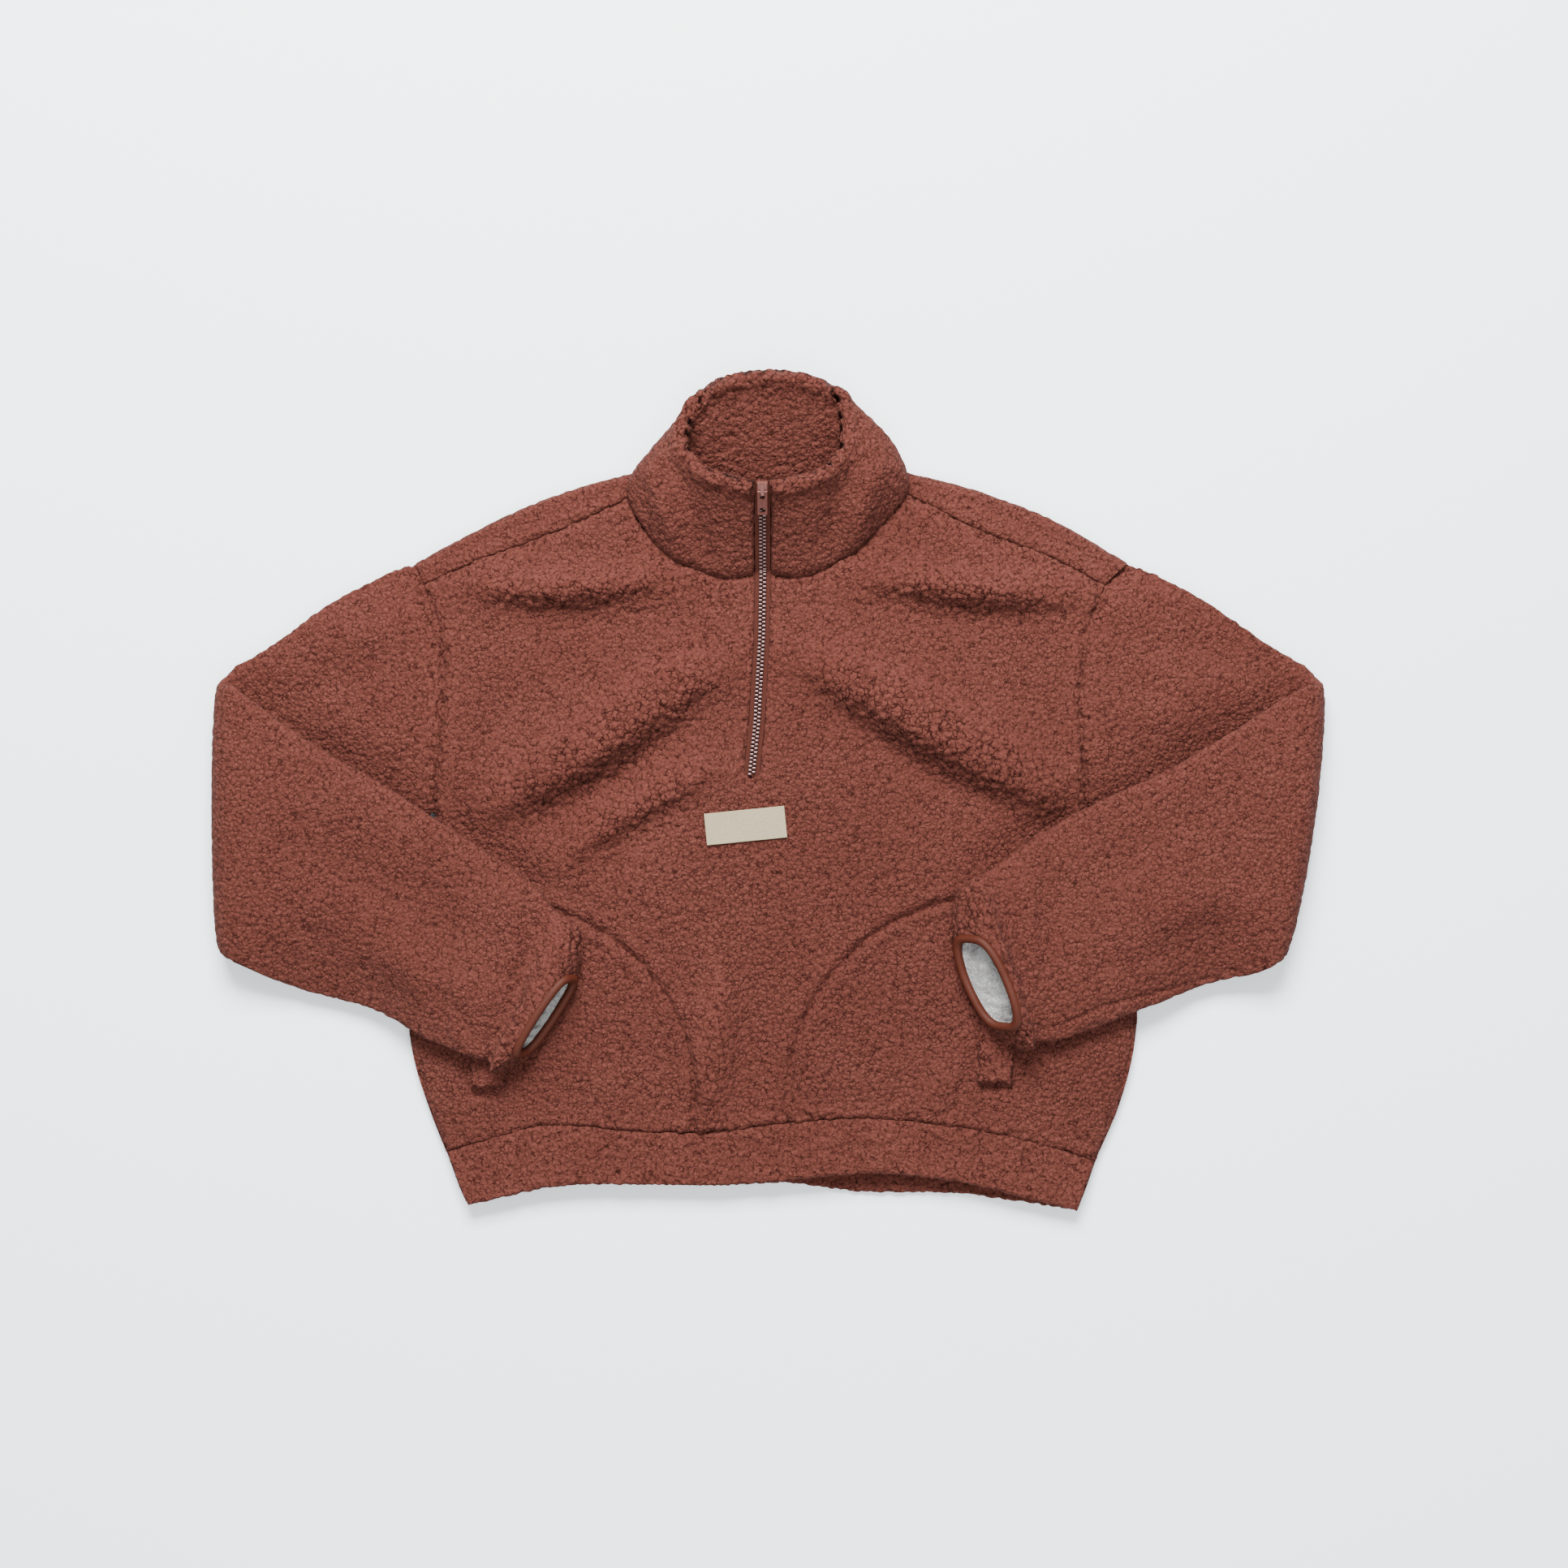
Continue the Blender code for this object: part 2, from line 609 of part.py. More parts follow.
def sleeve_rings(side, upper, forearm, fold):
    """Rings of outer points from the armhole round the elbow fold to the cuff."""
    shares, heights = ring_shares()
    bow = armhole_bow(side, shares)
    rings = []
    for row in smooth_sections(upper, UPPER_STEPS):
        plan = section_spine(row, shares, bow)
        rings.append(np.column_stack([plan, row.half + row.half * heights]))
    middle = FOLD_HALF + FOLD_GAP
    axis_z = 2 * FOLD_HALF + FOLD_GAP
    for turn in np.linspace(0, math.pi, FOLD_STEPS + 1):
        line = fold_line(fold, shares, turn)
        reach = middle - FOLD_HALF * heights
        x = line[:, 0] - side * (2 * FOLD_HALF + FOLD_GAP) + side * reach * math.sin(turn)
        rings.append(np.column_stack([x, line[:, 1], axis_z - reach * math.cos(turn)]))
    rested = axis_z + middle
    for row in smooth_sections(forearm, FOREARM_STEPS):
        plan = section_spine(row, shares, bow)
        x, y = plan[:, 0], plan[:, 1]
        support = front_middle(x, y) + WALL / 2 + welt_lift(x, y) + FOREARM_CLEAR
        spine = np.maximum(rested, inside_body(x, y) * (support + row.half))
        if row.drape:
            spine = spine - row.drape * smoothstep((shares - row.drape_from) / (1 - row.drape_from))
        rise = row.half - row.half * heights
        back = row.set_back * rise / (2 * row.half) * side
        rings.append(np.column_stack([x + back, y, spine - row.half + rise]))
    return np.array(rings)


def fold_line(fold, shares, turn):
    """The line that a sleeve folds round, at one angle of its turn."""
    part = turn / math.pi
    draw = FOLD_DRAW * math.sin(turn)
    up_y = (1 - part) * fold.arm_up_y + part * fold.fore_up_y - draw
    low_y = (1 - part) * fold.arm_low_y + part * fold.fore_low_y + draw
    return (1 - shares)[:, None] * [fold.up_x, up_y] + shares[:, None] * [fold.low_x, low_y]


def smooth_sections(rows, steps):
    """More sections between the first ones, on smooth curves through every column."""
    stacked = np.array(rows, float)
    at = np.linspace(0, len(rows) - 1, (len(rows) - 1) * steps + 1)
    low = np.clip(at.astype(int), 0, len(rows) - 2)
    t = (at - low)[:, None]
    slopes = np.gradient(stacked, axis=0)
    start = (1 + 2 * t) * (1 - t) ** 2 * stacked[low] + t * (1 - t) ** 2 * slopes[low]
    end = t * t * (3 - 2 * t) * stacked[low + 1] + t * t * (t - 1) * slopes[low + 1]
    return [Section(*values) for values in start + end]


def shrink_ring(ring, by):
    """A ring drawn in towards its middle line by a distance."""
    middle = ring.mean(axis=0)
    ahead = ring[RING_POINTS // 2] - ring[0]
    ahead = ahead / np.linalg.norm(ahead)
    away = ring - middle
    along_it = away @ ahead
    across_it = away - along_it[:, None] * ahead
    reach = np.linalg.norm(ring[RING_POINTS // 4] - ring[-RING_POINTS // 4]) / 2
    length = np.abs(along_it).max()
    spine = (across_it + np.roll(across_it[::-1], 1, axis=0)) / 2
    drawn = middle + (along_it * (length - by) / length)[:, None] * ahead
    return drawn + spine + (across_it - spine) * (reach - by) / reach


def tube_mesh(name, outer, inner, side):
    """A wall between outer and inner rings, open at both ends.

    Both faces are split along the same diagonals, so walls inside each other stay clear.
    """
    loops = np.concatenate([outer, inner[::-1]])
    count, points = loops.shape[:2]
    faces = []
    for loop in range(count):
        low, high = loop * points, ((loop + 1) % count) * points
        for point in range(points):
            beside = (point + 1) % points
            a, b, c, d = low + point, low + beside, high + beside, high + point
            faces.extend([(a, b, c), (a, c, d)] if loop < len(outer) else [(a, b, d), (b, c, d)])
    if side < 0:
        faces = [face[::-1] for face in faces]
    mesh = bpy.data.meshes.new(name)
    mesh.from_pydata((loops.reshape(-1, 3) * MM).tolist(), [], faces)
    return mesh


def make_sleeve(name, side, rings):
    inner = np.array([shrink_ring(ring, SLEEVE_WALL) for ring in rings])
    add_object(f"sleeve_{name}", tube_mesh(f"sleeve_{name}", rings, inner, side), FLEECE)


# Collar


def collar_grid(cells):
    """The middle of the collar's wall, seam row first."""
    round_it = np.linspace(0, 1, cells[0] + 1)
    rows = np.array([row[1:] for row in COLLAR], float)
    seam_rim = along(rows[:, :6], round_it)
    swell = np.interp(round_it, np.linspace(0, 1, len(rows)), rows[:, 6])
    seam, rim = seam_rim[:, :3].copy(), seam_rim[:, 3:]
    outward = seam[:, :2] - COLLAR_CENTRE
    outward = outward / np.linalg.norm(outward, axis=1)[:, None]
    front = smoothstep((232 - seam[:, 1]) / 30)
    seam[:, :2] -= outward * (NECK_GAP * front)[:, None]
    levels = []
    for up in np.linspace(0, 1, cells[1] + 1):
        level = (1 - up) * seam + up * rim
        out = swell * math.sin(math.pi * up)
        level[:, :2] += outward * out[:, None]
        level[:, 2] += 0.4 * out
        levels.append(level)
    return np.array(levels)


def make_collar():
    points = collar_grid(COLLAR_CELLS)
    made = add_object("collar", grid_mesh("collar", points), FLEECE)
    group = made.vertex_groups.new(name="thickness")
    columns = points.shape[1]
    for level in range(points.shape[0]):
        share = COLLAR_SEAM_SHARE + (1 - COLLAR_SEAM_SHARE) * min(1.0, level / 2)
        group.add(list(range(level * columns, (level + 1) * columns)), share, "REPLACE")
    add_wall(made, COLLAR_WALL).vertex_group = "thickness"


# Cuffs


def make_cuff(name, side, rings):
    """The binding round the mouth of a sleeve, and the lining that shows inside it."""
    out = rings[-1] - rings[-2]
    out = out.mean(axis=0) / np.linalg.norm(out.mean(axis=0))
    rim = rings[-1] + out * SEAM
    depths = (0, BINDING_DEPTH / 2, BINDING_DEPTH)
    outer = np.array([shrink_ring(rim, -swell) + out * depth for depth, swell in zip(depths, BINDING_SWELL)])
    inner = np.array([shrink_ring(rim, SLEEVE_WALL) + out * depth for depth in depths])
    binding = tube_mesh(f"cuff_binding_{name}", outer, inner, side)
    add_object(f"cuff_binding_{name}", binding, BINDING)
    inside = rings[-LINING_RINGS:]
    lining_outer = np.array([shrink_ring(ring, SLEEVE_WALL + LINING_GAP) for ring in inside])
    lining_inner = np.array([shrink_ring(ring, SLEEVE_WALL + LINING_GAP + LINING_WALL) for ring in inside])
    lining = tube_mesh(f"cuff_lining_{name}", lining_outer, lining_inner, side)
    add_object(f"cuff_lining_{name}", lining, SATIN)


# Zip


def zip_points():
    """The zip's line from its bottom stop to the slider, in the middle of the cloth."""
    front_y = np.linspace(ZIP_LINE[0].y, 160, 16)
    front_x = zip_x(front_y)
    front = on_front(front_x, front_y, 0)
    grid = collar_grid(COLLAR_CELLS)
    edge = (grid[:, 0] + grid[:, -1]) / 2
    rise = along(edge, np.linspace(0.02, 0.99, 7))
    return np.concatenate([front, rise])


def strip_along(line, half, lift):
    """A strip of three points across, lifted square off a line that runs in the YZ plane."""
    ahead = np.gradient(line, axis=0)
    ahead[:, 0] = 0
    ahead = ahead / np.linalg.norm(ahead, axis=1)[:, None]
    up = np.stack([np.zeros(len(line)), -ahead[:, 2], ahead[:, 1]], axis=1)
    centre = line + up * lift
    return np.stack([centre + [share * half, 0, 0] for share in (-1, 0, 1)], axis=1)


def zip_height():
    """Lift of the middle of the chain above the tape's."""
    return TAPE_WALL / 2 + LAYER_GAP + CHAIN_WALL / 2


def make_zip():
    line = zip_points()
    sheet("zip_tape", strip_along(line, TAPE_HALF, 0), TAPE_WALL, TAPE_CLOTH)
    sheet("zip_chain", strip_along(line, CHAIN_HALF, zip_height()), CHAIN_WALL, TEETH)
    seat, slope = slider_seat(line)
    turn = Matrix.Rotation(slope, 4, "X")
    make_slider(seat, turn)
    make_pull(seat, turn)


def slider_seat(line):
    """Where the slider sits on the chain, and the slope of the zip there."""
    place = np.array([np.interp(SLIDER_Y, line[:, 1], line[:, axis]) for axis in range(3)])
    ahead = line[-1] - line[-3]
    slope = math.atan2(ahead[2], ahead[1])
    up = np.array([0, -math.sin(slope), math.cos(slope)])
    return place + up * (zip_height() + CHAIN_WALL / 2 + LAYER_GAP), slope


def place_at(made, seat, turn, offset):
    """Put an object at an offset in millimetres from the slider's seat, in the slope of the zip."""
    move = Matrix.Translation(Vector(offset) * MM)
    made.matrix_world = Matrix.Translation(Vector(seat) * MM) @ turn @ move


def make_slider(seat, turn):
    """A cap over the chain with a bridge that the pull hangs from."""
    width, length, height = SLIDER_SIZE
    cap = add_object("zip_slider", box_mesh("zip_slider", (width, length, height)), PAINT)
    place_at(cap, seat, turn, (0, 0, height / 2))
    soft = cap.modifiers.new("edges", "BEVEL")
    soft.width = 1.2 * MM
    soft.segments = 2
    base = height + BRIDGE_RISE / 2 - 1
    block = box_mesh("bridge_block", (BRIDGE_WIDTH, BRIDGE_LENGTH, BRIDGE_RISE + 2))
    bridge = add_cutter("bridge_block", block)
    place_at(bridge, seat, turn, (0, 0, base))
    cut(cap, bridge, "UNION")
    room = (BRIDGE_WIDTH + 2, BRIDGE_LENGTH - 2 * BRIDGE_WALL, BRIDGE_RISE - BRIDGE_WALL)
    tunnel = add_cutter("bridge_hole", box_mesh("bridge_hole", room))
    place_at(tunnel, seat, turn, (0, 0, height + (BRIDGE_RISE - BRIDGE_WALL) / 2 + 0.05))
    cut(cap, tunnel)


def pull_axis_offset():
    """The pull's bar lies inside the bridge, against its lower leg."""
    reach = BRIDGE_LENGTH / 2 - BRIDGE_WALL - BAR_RADIUS - LAYER_GAP
    return (0, -reach, SLIDER_SIZE[2] + BAR_RADIUS + LAYER_GAP)


def make_pull(seat, turn):
    """The pull tab: a plate with a slot round the bridge's leg and a round hole near its end."""
    width, length, thick = PULL_SIZE
    axis = pull_axis_offset()
    plate = add_object("zip_pull", box_mesh("zip_pull", PULL_SIZE), PAINT)
    lay = Matrix.Rotation(PULL_TILT, 4, "X")
    pivot = Matrix.Translation(Vector(seat) * MM) @ turn @ Matrix.Translation(Vector(axis) * MM) @ lay
    plate.matrix_world = pivot @ Matrix.Translation(Vector((0, -length / 2 + BAR_RADIUS, 0)) * MM)
    soft = plate.modifiers.new("corners", "BEVEL")
    soft.width = 0.5 * MM
    soft.segments = 1
    slot = add_cutter("pull_slot", box_mesh("pull_slot", (PULL_SLOT[0], PULL_SLOT[1], thick * 3)))
    slot.matrix_world = pivot @ Matrix.Translation(Vector((0, -BAR_RADIUS - PULL_SLOT[1] / 2, 0)) * MM)
    cut(plate, slot)
    hole = add_cutter("pull_hole", cylinder_mesh("pull_hole", PULL_HOLE_RADIUS, thick * 3))
    hole.matrix_world = pivot @ Matrix.Translation(Vector((0, -length + BAR_RADIUS + 4.4, 0)) * MM)
    cut(plate, hole)


# Label and welts


def turned_grid(centre, size, turn, cells):
    """Plan positions of a turned rectangle's grid."""
    across = np.linspace(-0.5, 0.5, cells[0] + 1) * size[0]
    up = np.linspace(-0.5, 0.5, cells[1] + 1) * size[1]
    x, y = np.meshgrid(across, up)
    return (
        centre[0] + x * math.cos(turn) - y * math.sin(turn),
        centre[1] + x * math.sin(turn) + y * math.cos(turn),
    )


def make_label():
    x, y = turned_grid(LABEL_CENTRE, LABEL_SIZE, LABEL_TURN, LABEL_CELLS)
    lift = WALL / 2 + ON_TOP_GAP + LABEL_WALL / 2
    sheet("label", on_front(x, y, lift), LABEL_WALL, LABEL_CLOTH)


def make_welts():
    lift = WALL / 2 + ON_TOP_GAP + WELT_WALL / 2
    for row in WELTS:
        centre = (row.x, row.low_y + WELT_SIZE[1] / 2)
        x, y = turned_grid(centre, WELT_SIZE, row.turn, WELT_CELLS)
        sheet(row.name, on_front(x, y, lift), WELT_WALL, FLEECE)


def main():
    clear_scene()
    make_back()
    make_front()
    make_bands()
    for name, side, upper, forearm, fold in (
        ("left", -1, LEFT_UPPER, LEFT_FOREARM, LEFT_FOLD),
        ("right", 1, RIGHT_UPPER, RIGHT_FOREARM, RIGHT_FOLD),
    ):
        rings = sleeve_rings(side, upper, forearm, fold)
        make_sleeve(name, side, rings)
        make_cuff(name, side, rings)
    make_collar()
    make_zip()
    make_label()
    make_welts()


main()
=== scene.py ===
"""Looks of the half-zip sherpa fleece that lies flat with both sleeves folded over its front.

Sizes are in millimetres and turn into metres where a mesh is made. The curves, heights and sections
follow those of the solids, sampled more finely, with the creases, seams and pile that the solids leave
out. The cuffs are a little fuller than the solids, and the collar's back seam stands further forward.
"""
import math
from collections import namedtuple

import bpy
import bmesh
import numpy as np
from mathutils import Matrix, Vector

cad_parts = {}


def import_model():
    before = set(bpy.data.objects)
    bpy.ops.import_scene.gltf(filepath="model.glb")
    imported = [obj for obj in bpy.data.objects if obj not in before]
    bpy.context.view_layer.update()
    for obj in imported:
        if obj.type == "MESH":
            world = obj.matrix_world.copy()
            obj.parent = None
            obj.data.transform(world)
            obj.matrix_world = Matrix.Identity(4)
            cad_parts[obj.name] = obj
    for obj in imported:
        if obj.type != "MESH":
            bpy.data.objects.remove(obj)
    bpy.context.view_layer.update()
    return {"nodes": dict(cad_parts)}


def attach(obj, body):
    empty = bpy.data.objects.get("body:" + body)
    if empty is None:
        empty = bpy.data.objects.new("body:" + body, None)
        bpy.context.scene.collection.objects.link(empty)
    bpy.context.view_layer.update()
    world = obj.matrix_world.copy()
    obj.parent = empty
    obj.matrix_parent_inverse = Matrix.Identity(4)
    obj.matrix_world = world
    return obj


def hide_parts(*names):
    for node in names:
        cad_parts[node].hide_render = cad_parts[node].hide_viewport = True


MM = 0.001

# Cloth
WALL = 5.0
LAYER_GAP = 0.3
PUFF = 8.0
PUFF_REACH = 30.0
COLLAR_WALL = 11.0
BAND_WALL = 5.0
RIM = 6.0                   # how far in from a seam the cloth starts to round down
SEAM_RISE = 0.4             # height left at a sewn seam, of the wall's full thickness
PILE_DEPTH = 2.2

# Zip
ZIP_SLOT_HALF = 5.0
TAPE_HALF = 5.9
TAPE_RISE = 0.6
TOOTH_PITCH = 3.0
TOOTH_SIZE = (2.5, 1.35, 2.0)
TOOTH_ASIDE = 1.4
TOOTH_RISE = 1.9

# Outline of the body, from the hem seam up to the underarm
SideRow = namedtuple("SideRow", "place left_x left_y right_x right_y")
SIDES = [
    SideRow("hem seam", -245, -276, 249, -283),
    SideRow("low hip", -258, -243, 268, -238),
    SideRow("hip", -272, -193, 280, -185),
    SideRow("waist", -264, -98, 269, -91),
    SideRow("underarm", -253, -17, 243, -17),
]
ARMHOLES = [
    SideRow("underarm", -253, -17, 243, -17),
    SideRow("low curve", -250, 25, 239, 20),
    SideRow("middle", -245, 70, 236, 65),
    SideRow("high curve", -250, 125, 242, 120),
    SideRow("shoulder seam", -261, 156, 255, 155),
]
SHOULDER_FOLD = [
    SideRow("armhole", -268, 172, 273.5, 172),
    SideRow("outer", -220, 198, 231, 198),
    SideRow("inner", -156, 226, 166, 225),
    SideRow("neck", -99, 242, 99, 243),
]
SHOULDER_SEAM = [
    SideRow("armhole", -261, 156, 255, 155),
    SideRow("outer", -220, 174, 220, 174),
    SideRow("inner", -156, 198, 160, 197),
    SideRow("neck", -107, 221, 105, 225),
]
NECK_SEAM = [
    SideRow("shoulder", -107, 221, 105, 225),
    SideRow("side", -94, 197, 82, 200),
    SideRow("curve", -66, 172, 60, 177),
    SideRow("front", -28, 161, 22, 162),
]
NECK_FRONT = (-4, 164)
BACK_NECK_Y = 246

HemRow = namedtuple("HemRow", "seam_x seam_y edge_x edge_y back_y")
HEM = [
    HemRow(-245, -276, -228, -316, -316),
    HemRow(-166, -255, -157, -301, -302),
    HemRow(-98, -260, -90, -300, -301),
    HemRow(-37, -260, -29, -300, -302),
    HemRow(10, -254, 10, -297, -300),
    HemRow(70, -250, 70, -292, -307),
    HemRow(140, -256, 140, -297, -308),
    HemRow(202, -268, 195, -310, -315),
    HemRow(249, -283, 235, -320, -321),
]

# Folds of the front: those of the solid, then the finer creases
FoldRow = namedtuple("FoldRow", "place x0 y0 x1 y1 bow height left_reach right_reach")
FOLDS = [
    FoldRow("left chest", -40, 102, -210, -18, 12, 7.0, 16, 24),
    FoldRow("left chest valley", -60, 68, -205, -40, 12, -3.0, 12, 14),
    FoldRow("left rib", -30, 20, -150, -52, -4, 4.0, 16, 20),
    FoldRow("right chest", 20, 108, 228, -13, -10, 6.0, 24, 16),
    FoldRow("right chest valley", 40, 76, 215, -34, -10, -3.0, 14, 12),
    FoldRow("left shoulder", -70, 168, -232, 160, 12, 5.0, 12, 16),
    FoldRow("right shoulder", 66, 170, 236, 152, -10, 5.0, 16, 12),
    FoldRow("lower middle", -46, -150, -47, -262, 0, 3.5, 18, 12),
    FoldRow("right pocket", 144, -190, 114, -252, 6, 3.0, 12, 16),
]
CREASES = [
    FoldRow("left chest crest", -8, 116, -232, -22, 12, 9.0, 17, 40),
    FoldRow("right chest crest", 0, 120, 246, -18, -10, 9.0, 40, 17),
    FoldRow("under left chest", -8, 92, -232, -44, 12, -5.0, 36, 14),
    FoldRow("under right chest", 2, 94, 244, -40, -10, -5.0, 14, 38),
    FoldRow("left rib crest", -16, 30, -180, -70, -4, 6.0, 13, 28),
    FoldRow("under left rib", -30, 4, -166, -74, -4, -4.0, 24, 9),
    FoldRow("left low rib", -58, -14, -136, -84, 5, 2.2, 12, 12),
    FoldRow("left shoulder crest", -40, 162, -250, 157, 12, 7.0, 14, 18),
    FoldRow("right shoulder crest", 40, 166, 254, 149, -10, 7.0, 18, 14),
    FoldRow("under left shoulder", -66, 148, -240, 138, 8, -5.0, 30, 10),
    FoldRow("under right shoulder", 64, 152, 246, 130, -8, -5.0, 10, 30),
    FoldRow("lower middle crest", -38, -120, -50, -268, 6, 5.0, 9, 14),
    FoldRow("beside lower middle", -14, -110, -28, -268, 6, -4.5, 16, 9),
    FoldRow("left welt end", -231, -230, -197, -232, 0, -3.5, 4, 4),
    FoldRow("right welt end", 158, -227, 194, -223, 0, -3.5, 4, 4),
    FoldRow("beside right pocket", 156, -196, 128, -254, 6, -1.8, 7, 7),
    FoldRow("above left hem", -150, -196, -108, -258, 4, 1.8, 9, 9),
    FoldRow("left underarm", -256, -14, -136, -98, 0, -6.0, 15, 15),
    FoldRow("right underarm", 258, -4, 150, -66, 0, -6.0, 15, 15),
]
LEFT_ARM_CREASES = [
    FoldRow("along the forearm", -430, 88, -250, -32, 0, -9.0, 24, 18),
    FoldRow("upper hollow", -276, 96, -402, 74, 6, -4.0, 18, 18),
    FoldRow("upper ridge", -262, 128, -360, 116, 4, 2.5, 12, 12),
]
RIGHT_ARM_CREASES = [
    FoldRow("along the forearm", 430, 88, 240, -28, 0, -9.0, 18, 24),
    FoldRow("upper hollow", 262, 120, 396, 78, 8, -4.5, 22, 16),
    FoldRow("upper ridge", 256, 60, 330, 46, 4, 2.5, 12, 12),
]
LEFT_SLEEVE_CREASES = [
    FoldRow("forearm hollow", -392, -30, -176, -136, 8, -6.0, 30, 26),
    FoldRow("forearm ridge", -330, -118, -196, -170, 6, 4.0, 14, 18),
    FoldRow("elbow crease", -408, -60, -330, -128, 6, -2.6, 12, 12),
    FoldRow("cuff crease", -246, -150, -214, -196, 0, -1.8, 6, 6),
]
RIGHT_SLEEVE_CREASES = [
    FoldRow("forearm hollow", 392, 10, 180, -104, -6, -4.5, 26, 26),
    FoldRow("elbow crease", 408, 10, 360, -80, -6, -2.4, 12, 12),
    FoldRow("low hollow", 380, -92, 230, -144, 0, -3.0, 14, 14),
]
RIGHT_UNDERARM_SEAM = [(205, -183), (236, -172), (250, -164), (278, -158), (321, -147), (396.5, -122)]

# Stitched edges of the pocket bags
ArcRow = namedtuple("ArcRow", "place x y radius")
STITCH_DEPTH = 3.4
STITCH_WIDTH = 2.2
POCKET_ARCS = [
    ArcRow("left", -205, -235, 149),
    ArcRow("right", 172, -238, 157),
]
BAND_CREASES = [-186, -120, -88, -14, 14, 67, 122, 160, 196, 228]
BAND_CREASE_DEPTH = 2.6
BAND_CREASE_WIDTH = 5.0
BAND_SEAM_X = -55
BAND_SEAM_DEPTH = 1.8
BAND_SEAM_WIDTH = 2.0

# Sleeve sections, armhole to fold to cuff
Section = namedtuple(
    "Section", "up_x up_y low_x low_y half bow drape drape_from set_back", defaults=(8.5, 0.0, 0, 0.80, 0)
)
LEFT_UPPER = [
    Section(-269.8, 171, -254.8, -17, bow=1.0),
    Section(-292, 163, -272, -30, bow=0.6),
    Section(-338, 138, -318, -59, bow=0.2),
    Section(-375, 111, -362, -88),
    Section(-400, 96, -396, -110),
]
LEFT_FOREARM = [
    Section(-388, 66, -384, -140, drape=6),
    Section(-345, 35, -350, -153, drape=14, drape_from=0.62),
    Section(-290, 3, -300, -167, drape=14, drape_from=0.55),
    Section(-235, -33, -258, -188, drape=2),
    Section(-183, -67, -222, -202),
    Section(-155, -91, -206, -208, 9.0, set_back=6),
    Section(-139, -112, -194, -210, 11.0, set_back=15),
    Section(-133, -132, -182, -208, 16.0, set_back=21),
]
RIGHT_UPPER = [
    Section(275.4, 170.5, 244.8, -17, bow=1.0),
    Section(298, 162, 262, -30, bow=0.6),
    Section(340, 138, 310, -60, bow=0.2),
    Section(376, 113, 350, -92),
    Section(402, 97, 377, -112),
]
RIGHT_FOREARM = [
    Section(388, 68, 370, -139, drape=6),
    Section(345, 40, 333, -148, drape=14, drape_from=0.60),
    Section(295, 11, 290, -164, drape=8, drape_from=0.62),
    Section(240, -14, 247, -180, drape=2),
    Section(194, -42, 218, -190),
    Section(160, -62, 198, -193, 9.5, set_back=6),
    Section(138, -80, 180, -193, 13.0, set_back=22),
    Section(128, -103, 161, -187, 18.0, set_back=41),
]
FoldLine = namedtuple("FoldLine", "up_x low_x arm_up_y arm_low_y fore_up_y fore_low_y bow")
LEFT_FOLD = FoldLine(-422, -421, 94, -114, 78, -130, 0)
RIGHT_FOLD = FoldLine(425.6, 397.6, 94, -116, 78, -134, 3)
FOLD_HALF = 8.5
FOLD_GAP = 0.7
FOLD_DRAW = 5.0
FOREARM_CLEAR = 1.0
CUFF_ROLL = 24.0            # length over which the fleece rolls in to the binding
BINDING_DEPTH = 7.0
BINDING_WIDTH = 7.0
Mouth = namedtuple("Mouth", "across along")
LEFT_MOUTH = Mouth(3.0, 9.0)
RIGHT_MOUTH = Mouth(4.0, 7.0)
Sleeve = namedtuple("Sleeve", "name side upper forearm fold arm_creases creases mouth")
SLEEVES = [
    Sleeve(
        "left", -1, LEFT_UPPER, LEFT_FOREARM, LEFT_FOLD,
        LEFT_ARM_CREASES, LEFT_SLEEVE_CREASES, LEFT_MOUTH,
    ),
    Sleeve(
        "right", 1, RIGHT_UPPER, RIGHT_FOREARM, RIGHT_FOLD,
        RIGHT_ARM_CREASES, RIGHT_SLEEVE_CREASES, RIGHT_MOUTH,
    ),
]

CollarRow = namedtuple("CollarRow", "place seam_x seam_y seam_z rim_x rim_y rim_z swell")
COLLAR = [
    CollarRow("zip right", 2.2, 164, 17, 2.2, 229, 57, 1),
    CollarRow("front right", 30, 163, 17, 33, 236, 54, 2),
    CollarRow("right front", 76, 194, 16, 51, 251, 46, 6),
    CollarRow("right", 103, 228, 13, 55, 266, 38, 12),
    CollarRow("right back", 97, 240, 9, 53, 287, 34, 10),
    CollarRow("back right", 44, 230, 6, 40, 308, 34, 1),
    CollarRow("back", 0, 226, 6, 2, 316, 34, 0),
    CollarRow("back left", -44, 230, 6, -40, 307, 34, 0),
    CollarRow("left back", -86, 243, 9, -55, 286, 34, 4),
    CollarRow("left", -104, 229, 13, -61, 266, 38, 4),
    CollarRow("left front", -84, 188, 16, -53, 247, 46, 5),
    CollarRow("front left", -38, 162, 17, -38, 237, 54, 2),
    CollarRow("zip left", -10.2, 164, 17, -10.2, 229, 57, 1),
]
COLLAR_CENTRE = (0, 232)
COLLAR_FOLDS = [
    FoldRow("left ridge", -90, 250, -64, 164, 3, 4.5, 7, 9),
    FoldRow("left hollow", -72, 250, -44, 168, 3, -4.0, 12, 8),
    FoldRow("right ridge", 84, 250, 60, 172, -3, 4.5, 9, 7),
    FoldRow("right hollow", 66, 250, 42, 172, -3, -4.0, 8, 12),
]

